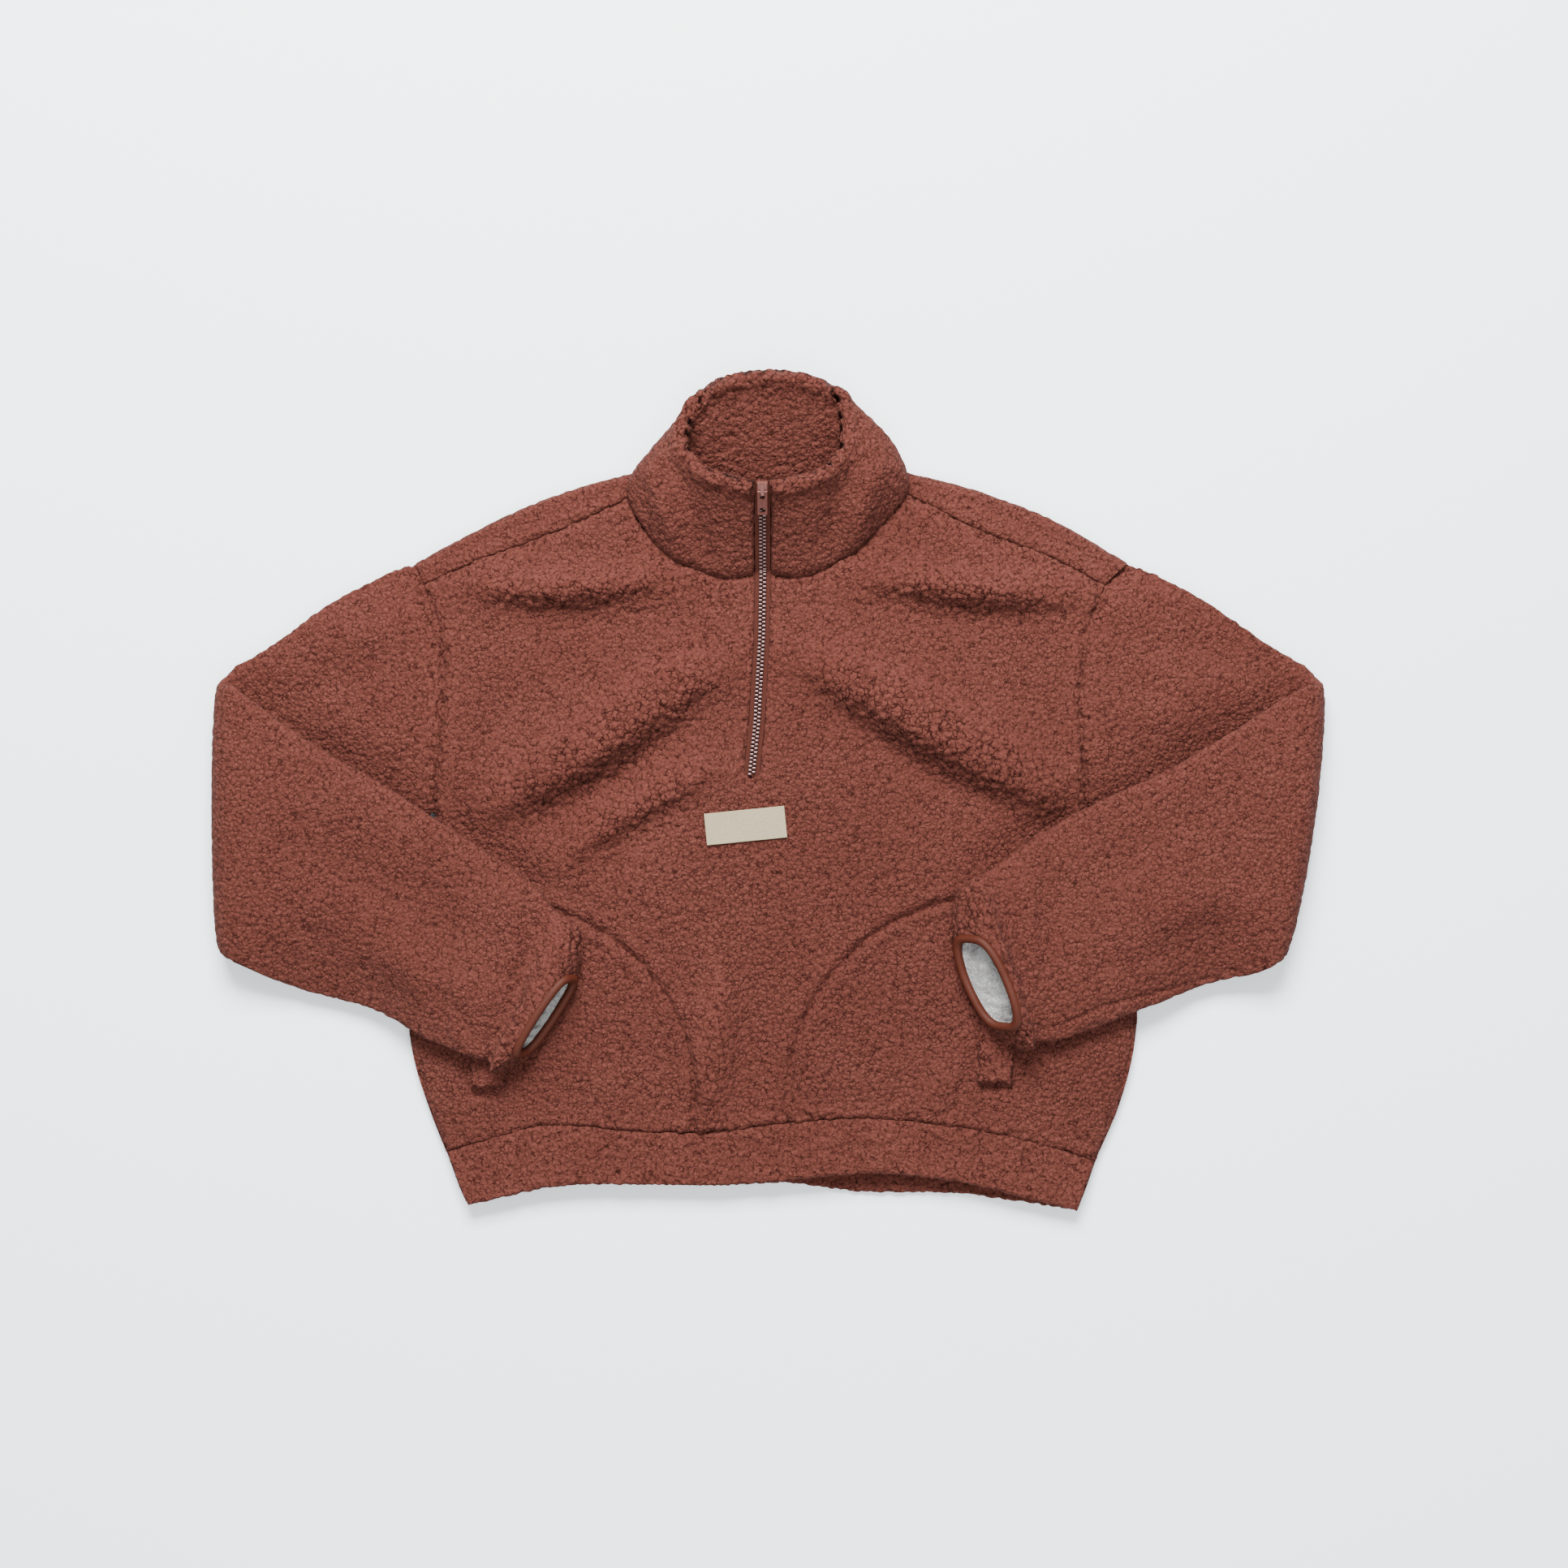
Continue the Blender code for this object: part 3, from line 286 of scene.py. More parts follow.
ZipRow = namedtuple("ZipRow", "place x y")
ZIP_LINE = [
    ZipRow("bottom", -12.7, 9.6),
    ZipRow("low", -8.4, 52),
    ZipRow("chest", -4.8, 117),
    ZipRow("neck seam", -4.0, 163),
]
LABEL_CENTRE = (-17, -27.5)
LABEL_SIZE = (61, 24)
LABEL_TURN = math.radians(5.7)
WELT_SIZE = (27, 138)
WELT_WALL = 3.0
WELT_GAP = 1.0
WELT_RISE = 6.0
WeltRow = namedtuple("WeltRow", "name x low_y turn")
WELTS = [
    WeltRow("pocket_welt_left", -214, -226, math.radians(2)),
    WeltRow("pocket_welt_right", 175, -223, math.radians(-3)),
]

# Camera: straight above, at the photo's scale
PHOTO_WIDTH = 1198.0
CAMERA_HEIGHT = 2200.0
CAMERA_OVER = (12.1, 4.0)
SENSOR = 36.0
FLOOR_HALF = 3.0           # metres


# Curves and patches, as in the solids


def along(rows, fractions):
    """Points at fractions of the way along a smooth curve through the rows."""
    rows = np.asarray(rows, float)
    steps = np.linalg.norm(np.diff(rows, axis=0), axis=1)
    knots = np.concatenate([[0.0], np.cumsum(steps)])
    slopes = np.gradient(rows, knots, axis=0)
    at = np.asarray(fractions, float) * knots[-1]
    low = np.clip(np.searchsorted(knots, at, side="right") - 1, 0, len(knots) - 2)
    width = (knots[low + 1] - knots[low])[:, None]
    t = (at - knots[low])[:, None] / width
    return between(rows, width * slopes[low], width * slopes[low + 1], low, t)


def between(rows, leaving, arriving, low, t):
    """Points at shares t from one row to the next, on a smooth curve with these slopes."""
    start = (1 + 2 * t) * (1 - t) ** 2 * rows[low] + t * (1 - t) ** 2 * leaving
    end = t * t * (3 - 2 * t) * rows[low + 1] + t * t * (t - 1) * arriving
    return start + end


def seam_points(rows):
    return [(row.seam_x, row.seam_y) for row in rows]


def neck_points():
    return side_points(NECK_SEAM, -1) + [NECK_FRONT] + side_points(NECK_SEAM, 1)[::-1]


def side_points(rows, side):
    """The rows' points on one side of the body."""
    if side < 0:
        return [(row.left_x, row.left_y) for row in rows]
    return [(row.right_x, row.right_y) for row in rows]


def patch(bottom, top, left, right):
    """A grid of points filled in between four edges that meet at their ends."""
    across = np.linspace(0, 1, len(bottom))[None, :, None]
    up = np.linspace(0, 1, len(left))[:, None, None]
    ruled = (1 - up) * bottom[None] + up * top[None]
    ruled = ruled + (1 - across) * left[:, None] + across * right[:, None]
    corners = (
        (1 - up) * ((1 - across) * bottom[0] + across * bottom[-1])
        + up * ((1 - across) * top[0] + across * top[-1])
    )
    return ruled - corners


def smoothstep(value):
    value = np.clip(value, 0, 1)
    return value * value * (3 - 2 * value)


def distance_to(line, x, y):
    """Least distance from each point to a line made of straight runs."""
    best = np.full(np.shape(x), 1e9)
    for (ax, ay), (bx, by) in zip(line[:-1], line[1:]):
        dx, dy = bx - ax, by - ay
        t = np.clip(((x - ax) * dx + (y - ay) * dy) / max(dx * dx + dy * dy, 1e-9), 0, 1)
        best = np.minimum(best, np.hypot(x - ax - t * dx, y - ay - t * dy))
    return best


def rounding(distance, reach=RIM):
    """From 0 at an edge to 1 inside it, on a quarter circle."""
    t = 1 - np.clip(distance / reach, 0, 1)
    return np.sqrt(np.clip(1 - t * t, 0, 1))


# Heights


def fold_height(row, x, y):
    """Height that one ridge adds at each point."""
    run = np.array([row.x1 - row.x0, row.y1 - row.y0], float)
    length = np.hypot(*run)
    ahead = run / length
    t = ((x - row.x0) * ahead[0] + (y - row.y0) * ahead[1]) / length
    aside = (y - row.y0) * ahead[0] - (x - row.x0) * ahead[1]
    inside = np.clip(t, 0, 1)
    aside = aside - row.bow * 4 * inside * (1 - inside)
    reach = np.where(aside > 0, row.left_reach, row.right_reach)
    return row.height * np.sin(np.pi * inside) ** 0.8 * np.exp(-(aside / reach) ** 2)


def edge_distance(x, y):
    """Distance to the side seams and shoulder folds, where the front comes down to the back."""
    edge = np.full(np.shape(x), 1e9)
    for side in (-1, 1):
        edge = np.minimum(edge, distance_to(side_points(SIDES, side), x, y))
        edge = np.minimum(edge, distance_to(side_points(SHOULDER_FOLD, side), x, y))
    return edge


def front_middle(x, y, rows=FOLDS):
    """Height of the middle of the front panel's wall."""
    edge = edge_distance(x, y)
    total = WALL + LAYER_GAP + WALL / 2 + PUFF * (1 - np.exp(-edge / PUFF_REACH))
    fade = smoothstep(edge / 25)
    for row in rows:
        total = total + fade * fold_height(row, x, y)
    return total


# Meshes


def mesh_from(name, verts, faces):
    mesh = bpy.data.meshes.new(name)
    mesh.from_pydata((np.asarray(verts) * MM).tolist(), [], faces)
    return mesh


def grid_faces(rows, columns, closed=False, looped=False, start=0):
    """Quads between rows of points. closed joins the last column to the first, looped the last row."""
    row = np.arange(rows if looped else rows - 1)[:, None]
    column = np.arange(columns if closed else columns - 1)[None, :]
    beside = (column + 1) % columns
    above = (row + 1) % rows
    quads = np.stack([
        row * columns + column, row * columns + beside, above * columns + beside, above * columns + column,
    ], axis=-1)
    return (quads.reshape(-1, 4) + start).tolist()


def grid_mesh(name, points, **joined):
    return mesh_from(name, points.reshape(-1, 3), grid_faces(*points.shape[:2], **joined))


def add_piece(name, mesh, pile=None, crest=None, smooth=True):
    """A piece of the garment, with its pile's strength at each point and how far that opens."""
    made = bpy.data.objects.new(name, mesh)
    bpy.context.scene.collection.objects.link(made)
    count = len(mesh.vertices)
    place = np.empty(count * 3)
    mesh.vertices.foreach_get("co", place)
    mesh.attributes.new("cloth", "FLOAT_VECTOR", "POINT").data.foreach_set("vector", place)
    for label, values in (("pile", pile), ("crest", crest)):
        if values is not None:
            level = np.broadcast_to(values, count).astype(float)
            mesh.attributes.new(label, "FLOAT", "POINT").data.foreach_set("value", level)
    if smooth:
        mesh.shade_smooth()
    if pile is not None:
        made.modifiers.new("pile", "NODES").node_group = bpy.data.node_groups.get("pile") or pile_group()
    return made


def outward(mesh):
    """Turn a mesh's faces the same way, upwards or outwards."""
    shape = bmesh.new()
    shape.from_mesh(mesh)
    bmesh.ops.recalc_face_normals(shape, faces=shape.faces[:])
    shape.to_mesh(mesh)
    shape.free()


# Node chains that the pile's shape and its colour share


def link(tree, source, target):
    tree.links.new(source, target)


def math_node(tree, operation, first, second=None, clamp=False):
    node = tree.nodes.new("ShaderNodeMath")
    node.operation = operation
    node.use_clamp = clamp
    for index, value in enumerate((first, second)):
        if value is None:
            continue
        if isinstance(value, (int, float)):
            node.inputs[index].default_value = value
        else:
            link(tree, value, node.inputs[index])
    return node.outputs[0]


def vector_node(tree, operation, first, second):
    node = tree.nodes.new("ShaderNodeVectorMath")
    node.operation = operation
    for index, value in enumerate((first, second)):
        if isinstance(value, tuple):
            node.inputs[index].default_value = value
        else:
            link(tree, value, node.inputs[index])
    return node.outputs[0]


def ramp_between(tree, value, low, high, out_low=0.0, out_high=1.0):
    node = tree.nodes.new("ShaderNodeMapRange")
    node.interpolation_type = "SMOOTHSTEP"
    link(tree, value, node.inputs["Value"])
    for name, number in (("From Min", low), ("From Max", high), ("To Min", out_low), ("To Max", out_high)):
        node.inputs[name].default_value = number
    return node.outputs["Result"]


def noise(tree, vector, scale, detail=2.0, roughness=0.5):
    node = tree.nodes.new("ShaderNodeTexNoise")
    link(tree, vector, node.inputs["Vector"])
    node.inputs["Scale"].default_value = scale
    node.inputs["Detail"].default_value = detail
    node.inputs["Roughness"].default_value = roughness
    return node


def voronoi(tree, vector, scale, feature):
    node = tree.nodes.new("ShaderNodeTexVoronoi")
    node.feature = feature
    link(tree, vector, node.inputs["Vector"])
    node.inputs["Scale"].default_value = scale
    return node.outputs["Distance"]


def pile_cells(tree, cloth, crest, feature):
    """The curls of the pile as a pattern of cells, larger where the pile opens up."""
    shift = vector_node(tree, "SUBTRACT", noise(tree, cloth, 300.0).outputs["Color"], (0.5, 0.5, 0.5))
    place = vector_node(tree, "ADD", cloth, vector_node(tree, "MULTIPLY", shift, (0.004, 0.004, 0.004)))
    closed = math_node(tree, "SUBTRACT", 1.0, crest)
    small = math_node(tree, "MULTIPLY", voronoi(tree, place, 270.0, feature), closed)
    large = math_node(tree, "MULTIPLY", voronoi(tree, place, 190.0, feature), crest)
    return math_node(tree, "ADD", small, large)


def named_attribute(tree, name, kind):
    node = tree.nodes.new("GeometryNodeInputNamedAttribute")
    node.data_type = kind
    node.inputs["Name"].default_value = name
    return node.outputs["Attribute"]


def pile_group():
    """Geometry nodes that raise the soft lumps of the pile, more where it opens up."""
    tree = bpy.data.node_groups.new("pile", "GeometryNodeTree")
    tree.interface.new_socket("Geometry", in_out="INPUT", socket_type="NodeSocketGeometry")
    tree.interface.new_socket("Geometry", in_out="OUTPUT", socket_type="NodeSocketGeometry")
    enter = tree.nodes.new("NodeGroupInput")
    leave = tree.nodes.new("NodeGroupOutput")
    cloth = named_attribute(tree, "cloth", "FLOAT_VECTOR")
    crest = named_attribute(tree, "crest", "FLOAT")
    lump = ramp_between(tree, noise(tree, cloth, 190.0, 1.0).outputs["Fac"], 0.3, 0.7, -0.5, 0.5)
    opened = math_node(tree, "ADD", math_node(tree, "MULTIPLY", crest, 0.75), 0.25)
    total = math_node(tree, "MULTIPLY", lump, opened)
    total = math_node(tree, "MULTIPLY", total, PILE_DEPTH * MM)
    total = math_node(tree, "MULTIPLY", total, named_attribute(tree, "pile", "FLOAT"))
    offset = tree.nodes.new("ShaderNodeVectorMath")
    offset.operation = "SCALE"
    link(tree, tree.nodes.new("GeometryNodeInputNormal").outputs["Normal"], offset.inputs[0])
    link(tree, total, offset.inputs["Scale"])
    move = tree.nodes.new("GeometryNodeSetPosition")
    link(tree, enter.outputs["Geometry"], move.inputs["Geometry"])
    link(tree, offset.outputs["Vector"], move.inputs["Offset"])
    link(tree, move.outputs["Geometry"], leave.inputs["Geometry"])
    return tree


# Materials


def new_material(name, roughness, metallic=0.0):
    made = bpy.data.materials.new(name)
    made.use_nodes = True
    tree = made.node_tree
    shader = tree.nodes["Principled BSDF"]
    shader.inputs["Roughness"].default_value = roughness
    shader.inputs["Metallic"].default_value = metallic
    return made, tree, shader


def colour_mix(tree, factor, first, second):
    node = tree.nodes.new("ShaderNodeMix")
    node.data_type = "RGBA"
    link(tree, factor, node.inputs["Factor"])
    for socket, value in ((node.inputs["A"], first), (node.inputs["B"], second)):
        if isinstance(value, tuple):
            socket.default_value = (*value, 1.0)
        else:
            link(tree, value, socket)
    return node.outputs["Result"]


def bump(tree, shader, height, distance):
    node = tree.nodes.new("ShaderNodeBump")
    node.inputs["Distance"].default_value = distance
    link(tree, height, node.inputs["Height"])
    link(tree, node.outputs["Normal"], shader.inputs["Normal"])


def two_tones(tree, shader, factor, colour, shade):
    """The colour, with patches of a darker shade of it."""
    dark = tuple(part * shade for part in colour)
    link(tree, colour_mix(tree, factor, dark, colour), shader.inputs["Base Color"])


def attribute(tree, name, output):
    node = tree.nodes.new("ShaderNodeAttribute")
    node.attribute_name = name
    return node.outputs[output]


# The darkest colour is painted shade in the cracks between the curls, and the lightest is painted light on
# the raised curls.
FLEECE_CRACK_SHADE = (0.015, 0.0030, 0.0019)
FLEECE_MID = (0.060, 0.0158, 0.0112)
FLEECE_LIT = (0.102, 0.0322, 0.0242)


def fleece_material():
    made, tree, shader = new_material("rust_sherpa", 0.95)
    place = attribute(tree, "cloth", "Vector")
    crest = attribute(tree, "crest", "Fac")
    domes = pile_cells(tree, place, crest, "F1")
    edges = pile_cells(tree, place, crest, "DISTANCE_TO_EDGE")
    # Painted shade: thin lines along the cells' edges, the cracks between the curls, are darkened in
    # patches, and more on ridges where the pile opens up.
    patchy = ramp_between(tree, noise(tree, place, 230.0).outputs["Fac"], 0.4, 0.6, 0.25, 0.9)
    patchy = math_node(tree, "ADD", math_node(tree, "MULTIPLY", crest, 0.2), patchy)
    thin = ramp_between(tree, edges, 0.0, 0.15, 1.0, 0.0)
    crack_shade = math_node(tree, "MULTIPLY", thin, patchy, clamp=True)
    curl = noise(tree, place, 560.0, 3.0, 0.65).outputs["Fac"]
    broad = noise(tree, place, 16.0).outputs["Fac"]
    # Painted light: the curl noise that raises the bump also turns the colour lighter, so the raised curls
    # look lit. The broad noise after it is the fleece's own uneven tone.
    tone = colour_mix(tree, ramp_between(tree, curl, 0.35, 0.66), FLEECE_MID, FLEECE_LIT)
    tone = colour_mix(tree, ramp_between(tree, broad, 0.3, 0.7, 0.0, 0.3), tone, FLEECE_MID)
    base = colour_mix(tree, crack_shade, tone, FLEECE_CRACK_SHADE)
    link(tree, base, shader.inputs["Base Color"])
    shader.inputs["Sheen Weight"].default_value = 0.02
    shader.inputs["Sheen Tint"].default_value = (0.85, 0.45, 0.38, 1.0)
    shader.inputs["Specular IOR Level"].default_value = 0.08
    relief = math_node(tree, "SUBTRACT", math_node(tree, "MULTIPLY", curl, 0.5), domes)
    bump(tree, shader, relief, 0.0021)
    return made


def plain_cloth_material(name, colour, roughness, thread, depth, specular=0.15):
    made, tree, shader = new_material(name, roughness)
    place = attribute(tree, "cloth", "Vector")
    grain = noise(tree, place, thread, 3.0, 0.6).outputs["Fac"]
    two_tones(tree, shader, ramp_between(tree, grain, 0.3, 0.7), colour, 0.72)
    shader.inputs["Specular IOR Level"].default_value = specular
    bump(tree, shader, grain, depth)
    return made


def metal_material(name, colour, roughness, metallic):
    made, tree, shader = new_material(name, roughness, metallic)
    place = tree.nodes.new("ShaderNodeTexCoord").outputs["Object"]
    wear = noise(tree, place, 900.0, 3.0).outputs["Fac"]
    two_tones(tree, shader, ramp_between(tree, wear, 0.35, 0.65), colour, 0.75)
    bump(tree, shader, wear, 0.00004)
    return made


# Front


def zip_x(y):
    return np.interp(y, [row.y for row in ZIP_LINE], [row.x for row in ZIP_LINE])


SHOULDER_SHARE = 7 / 26
FRONT_COLUMNS = 312
FRONT_ROWS = 290


def front_plan():
    """Plan positions of the front's grid, with its middle column on the zip's line."""
    across = np.linspace(0, 1, FRONT_COLUMNS + 1)
    up = np.linspace(0, 1, FRONT_ROWS + 1)
    shoulder = np.linspace(0, 1, round(FRONT_COLUMNS * SHOULDER_SHARE) + 1)
    neck = np.linspace(0, 1, FRONT_COLUMNS + 1 - 2 * (len(shoulder) - 1))
    top = np.concatenate([
        along(side_points(SHOULDER_SEAM, -1), shoulder),
        along(neck_points(), neck)[1:-1],
        along(side_points(SHOULDER_SEAM, 1), shoulder)[::-1],
    ])
    bottom = along(seam_points(HEM), across)
    left = along(side_points(SIDES, -1) + side_points(ARMHOLES, -1)[1:], up)
    right = along(side_points(SIDES, 1) + side_points(ARMHOLES, 1)[1:], up)
    left[0], right[0] = bottom[0], bottom[-1]
    top[0], top[-1] = left[-1], right[-1]
    plan = patch(bottom, top, left, right)
    middle = plan[:, FRONT_COLUMNS // 2].copy()
    shift = (zip_x(middle[:, 1]) - middle[:, 0]) * smoothstep((middle[:, 1] + 70) / 80)
    pull = np.exp(-((plan[..., 0] - middle[:, None, 0]) / 70) ** 2)
    plan[..., 0] += shift[:, None] * pull
    return plan


def slot_open(y):
    """Half width of the zip's slot at a height."""
    return ZIP_SLOT_HALF * np.sqrt(np.clip((y - 8.5) / 5, 0, 1))


def seam_grooves(x, y):
    """Depth of the stitched grooves round the pocket bags."""
    depth = np.zeros(np.shape(x))
    for row in POCKET_ARCS:
        off = np.hypot(x - row.x, y - row.y) - row.radius
        depth = np.maximum(depth, STITCH_DEPTH * np.exp(-(off / STITCH_WIDTH) ** 2))
    return depth


def pocket_pucker(x, y):
    """Height of the cloth that the pockets' stitches draw up on each side."""
    lift = np.zeros(np.shape(x))
    for row in POCKET_ARCS:
        off = np.hypot(x - row.x, y - row.y) - row.radius
        turn = np.arctan2(y - row.y, x - row.x)
        lift = lift + (1.3 + 0.6 * np.sin(turn * 31)) * np.exp(-((np.abs(off) - 7) / 4) ** 2)
    return lift


def seam_distance(x, y):
    """Distance to the seams that sew the front to the hem band, sleeves, back and collar."""
    across = np.linspace(0, 1, 60)
    lines = [along(seam_points(HEM), across), along(neck_points(), across)]
    for side in (-1, 1):
        lines.append(along(side_points(ARMHOLES, side), across[::3]))
        lines.append(along(side_points(SHOULDER_SEAM, side), across[::3]))
    return np.min([distance_to(line, x, y) for line in lines], axis=0)


def ridge_share(x, y):
    """How much of a ridge a point is on, most just below its crest, where the pile opens up."""
    lift = np.zeros(np.shape(x))
    for row in FOLDS + CREASES:
        if row.height > 0:
            lift = lift + fold_height(row, x, y + 5)
    return np.clip(lift / 9, 0, 1)


def make_front():
    plan = front_plan()
    middle = FRONT_COLUMNS // 2
    sides = [side_points(SIDES, side) for side in (-1, 1)]
    verts, crests, faces = [], [], []
    for side, half in ((-1, plan[:, : middle + 1]), (1, plan[:, middle:])):
        x, y = half[..., 0].copy(), half[..., 1]
        line = half[:, -1 if side < 0 else 0, 0][:, None]
        open_half = slot_open(y)
        away = np.abs(x - line)
        x = x + side * open_half * np.clip(1 - away / 45, 0, 1)
        rim = seam_distance(x, y)
        open_rim = np.minimum(*[distance_to(line, x, y) for line in sides])
        slot = np.where(open_half > 0.2, np.abs(x - line) - open_half, 1e9)
        shape = np.minimum(SEAM_RISE + (1 - SEAM_RISE) * rounding(rim), rounding(slot, 3.5))
        shape = np.minimum(shape, rounding(open_rim))
        z = front_middle(x, y, FOLDS + CREASES) + WALL / 2 * (2 * shape - 1)
        z = z - seam_grooves(x, y) + pocket_pucker(x, y)
        start = sum(len(part) for part in verts)
        verts.append(np.stack([x, y, z], axis=-1).reshape(-1, 3))
        near = np.exp(-(np.minimum(rim, slot + 4) / 11) ** 2) + np.clip(seam_grooves(x, y) / 2, 0, 1)
        crests.append(np.clip(ridge_share(x, y) + 0.7 * near, 0, 1).ravel())
        faces += grid_faces(*x.shape, start=start)
    mesh = mesh_from("front_fleece", np.concatenate(verts), faces)
    piece = add_piece("front_fleece", mesh, 1.0, np.concatenate(crests))
    weld = piece.modifiers.new("weld", "WELD")
    weld.merge_threshold = 0.00001
    piece.modifiers.move(1, 0)
    return piece


# Back


BACK_COLUMNS = 182
BACK_ROWS = 150
STRIP_ROWS = 24
SHOULDER_ROLL = 6.4


def back_hem():
    return [row._replace(seam_y=row.seam_y + (row.back_y - row.edge_y)) for row in HEM]


def make_back():
    """The back lies flat and rolls over each shoulder to the seam on the front."""
    side_cells = 7 * BACK_COLUMNS // 26
    neck_cells = BACK_COLUMNS - 2 * side_cells
    steps = np.linspace(0, 1, side_cells + 1)
    roll = {
        side: [along(side_points(rows, side), steps) for rows in (SHOULDER_FOLD, SHOULDER_SEAM)]
        for side in (-1, 1)
    }
    left_roll = set_in(*roll[-1], SHOULDER_ROLL)
    right_roll = set_in(*roll[1], SHOULDER_ROLL)
    neck_x = np.linspace(left_roll[-1][0], right_roll[-1][0], neck_cells + 1)[1:-1]
    neck_y = np.interp(np.abs(neck_x), [0, 100], [BACK_NECK_Y, left_roll[-1][1]])
    top = np.concatenate([left_roll, np.stack([neck_x, neck_y], axis=1), right_roll[::-1]])
    columns = len(top)
    bottom = along(seam_points(back_hem()), np.linspace(0, 1, columns))
    up = np.linspace(0, 1, BACK_ROWS + 1)
    left = along(side_points(SIDES, -1) + side_points(ARMHOLES, -1)[1:] + [tuple(top[0])], up)
    right = along(side_points(SIDES, 1) + side_points(ARMHOLES, 1)[1:] + [tuple(top[-1])], up)
    left[0], right[0] = bottom[0], bottom[-1]
    plan = patch(bottom, top, left, right)
    edge = distance_to(np.concatenate([left, [left[-1]]]), plan[..., 0], plan[..., 1])
    edge = np.minimum(edge, distance_to(right, plan[..., 0], plan[..., 1]))
    z = (WALL + LAYER_GAP + WALL / 2) * (1 - rounding(edge, 8))
    at_neck = smoothstep((100 - np.abs(plan[..., 0])) / 15) * smoothstep((plan[..., 1] - 226) / 12)
    z = np.maximum(z, WALL * at_neck)
    flat = np.concatenate([plan, z[..., None]], axis=-1)
    verts = [flat.reshape(-1, 3)]
    piles = [np.zeros(plan.shape[0] * plan.shape[1])]
    faces = grid_faces(*plan.shape[:2])
    last = BACK_ROWS * columns
    for side in (-1, 1):
        fold, seam = roll[side]
        base = [last + index if side < 0 else last + columns - 1 - index for index in range(side_cells + 1)]
        rows, pile = shoulder_rows(fold, seam)
        start = sum(len(part) for part in verts)
        verts.append(rows.reshape(-1, 3))
        piles.append(pile.ravel())
        count = side_cells + 1
        levels = [base] + (start + np.arange(len(rows) * count)).reshape(-1, count).tolist()
        for low, high in zip(levels[:-1], levels[1:]):
            for index in range(side_cells):
                face = (low[index], low[index + 1], high[index + 1], high[index])
                faces.append(face if side < 0 else face[::-1])
    mesh = mesh_from("back_fleece", np.concatenate(verts), faces)
    return add_piece("back_fleece", mesh, np.concatenate(piles), 0.3)


def set_in(fold, seam, depth):
    """Points a depth in from the shoulder fold, on the way to the seam."""
    return fold + (seam - fold) * (depth / (fold[:, 1] - seam[:, 1]))[:, None]


def shoulder_rows(fold, seam):
    """Rows of outer points round the shoulder fold and over to the seam on the front."""
    rows, pile = [], []
    for turn in np.radians(np.linspace(0, 180, 15)[1:]):
        plan = set_in(fold, seam, SHOULDER_ROLL - SHOULDER_ROLL * math.sin(turn))
        height = np.full(len(plan), SHOULDER_ROLL * (1 - math.cos(turn)))
        rows.append(np.column_stack([plan, height]))
        pile.append(np.full(len(plan), smoothstep((turn - 0.6) / 0.8)))
    start = set_in(fold, seam, SHOULDER_ROLL)
    for share in np.linspace(0, 1, STRIP_ROWS + 1)[1:]:
        plan = start + share * (seam - start)
        left = (1 - share) * np.linalg.norm(start - seam, axis=1)
        rise = SEAM_RISE + (1 - SEAM_RISE) * rounding(left)
        height = front_middle(plan[:, 0], plan[:, 1]) + WALL / 2 * (2 * rise - 1)
        blend = smoothstep(share * 3)
        rows.append(np.column_stack([plan, (1 - blend) * 2 * SHOULDER_ROLL + blend * height]))
        pile.append(np.ones(len(plan)))
    return np.array(rows), np.array(pile)


# Hem bands


def band_relief(x):
    """Soft creases across a band, and the seam that closes it."""
    relief = np.zeros(np.shape(x))
    for place in BAND_CREASES:
        relief = relief - BAND_CREASE_DEPTH * np.exp(-((x - place) / BAND_CREASE_WIDTH) ** 2)
    return relief - BAND_SEAM_DEPTH * np.exp(-((x - BAND_SEAM_X) / BAND_SEAM_WIDTH) ** 2)


def band_loop(rows, edge_name, columns, front):
    """Points round the section of a hem band: down its face, under its edge and back."""
    across = np.linspace(0, 1, columns + 1)
    seam = along(seam_points(rows), across)
    low = along([(row.edge_x, getattr(row, edge_name)) for row in rows], across)
    width = np.linalg.norm(seam - low, axis=1)
    around = [(share, 1.0) for share in np.linspace(0, 1, 30)]
    around += [(1.0, math.cos(turn)) for turn in np.radians(np.linspace(15, 165, 8))]
    around += [(share, -1.0) for share in np.linspace(1, 0, 10)]
    thin = rounding(np.minimum(across, 1 - across) * 490, 5)
    points = []
    for share, lift in around:
        extra = BAND_WALL / 2 * (math.sqrt(max(0.0, 1 - lift * lift)) - 1) / width
        place = seam + (low - seam) * (share + share * extra)[:, None]
        x, y = place[:, 0], place[:, 1]
        middle = front_middle(x, y) if front else np.full(x.shape, BAND_WALL / 2)
        pinch = SEAM_RISE + (1 - SEAM_RISE) * rounding(share * width)
        face = lift * (BAND_WALL / 2 * pinch * thin)
        if front and lift > 0:
            face = face + band_relief(x) * math.sin(math.pi * min(share, 0.8)) * lift
        points.append(np.stack([x, y, middle + face], axis=1))
    return np.array(points)


def make_band(name, rows, edge_name, front):
    points = band_loop(rows, edge_name, 420, front)
    loops = points.transpose(1, 0, 2)
    count, around = loops.shape[:2]
    faces = grid_faces(count, around, closed=True)
    faces.append(list(range(around)))
    faces.append(list(range((count - 1) * around, count * around))[::-1])
    mesh = mesh_from(name, loops.reshape(-1, 3), faces)
    outward(mesh)
    pile = np.where(loops[..., 2] > 1.2, 1.0, 0.0).ravel()
    return add_piece(name, mesh, pile, 0.4)


# Sleeves


def armhole_bow(side, shares):
    line = np.array([side_points(SHOULDER_FOLD, side)[0]] + side_points(ARMHOLES, side)[::-1], float)
    chord = (1 - shares)[:, None] * line[0] + shares[:, None] * line[-1]
    return along(line, shares) - chord


def ring_shares(count):
    angles = 2 * np.pi * np.arange(count) / count
    across = 0.5 - 0.5 * np.cos(angles)
    height = np.sign(np.sin(angles)) * np.abs(np.sin(angles)) ** 0.55
    return across, height


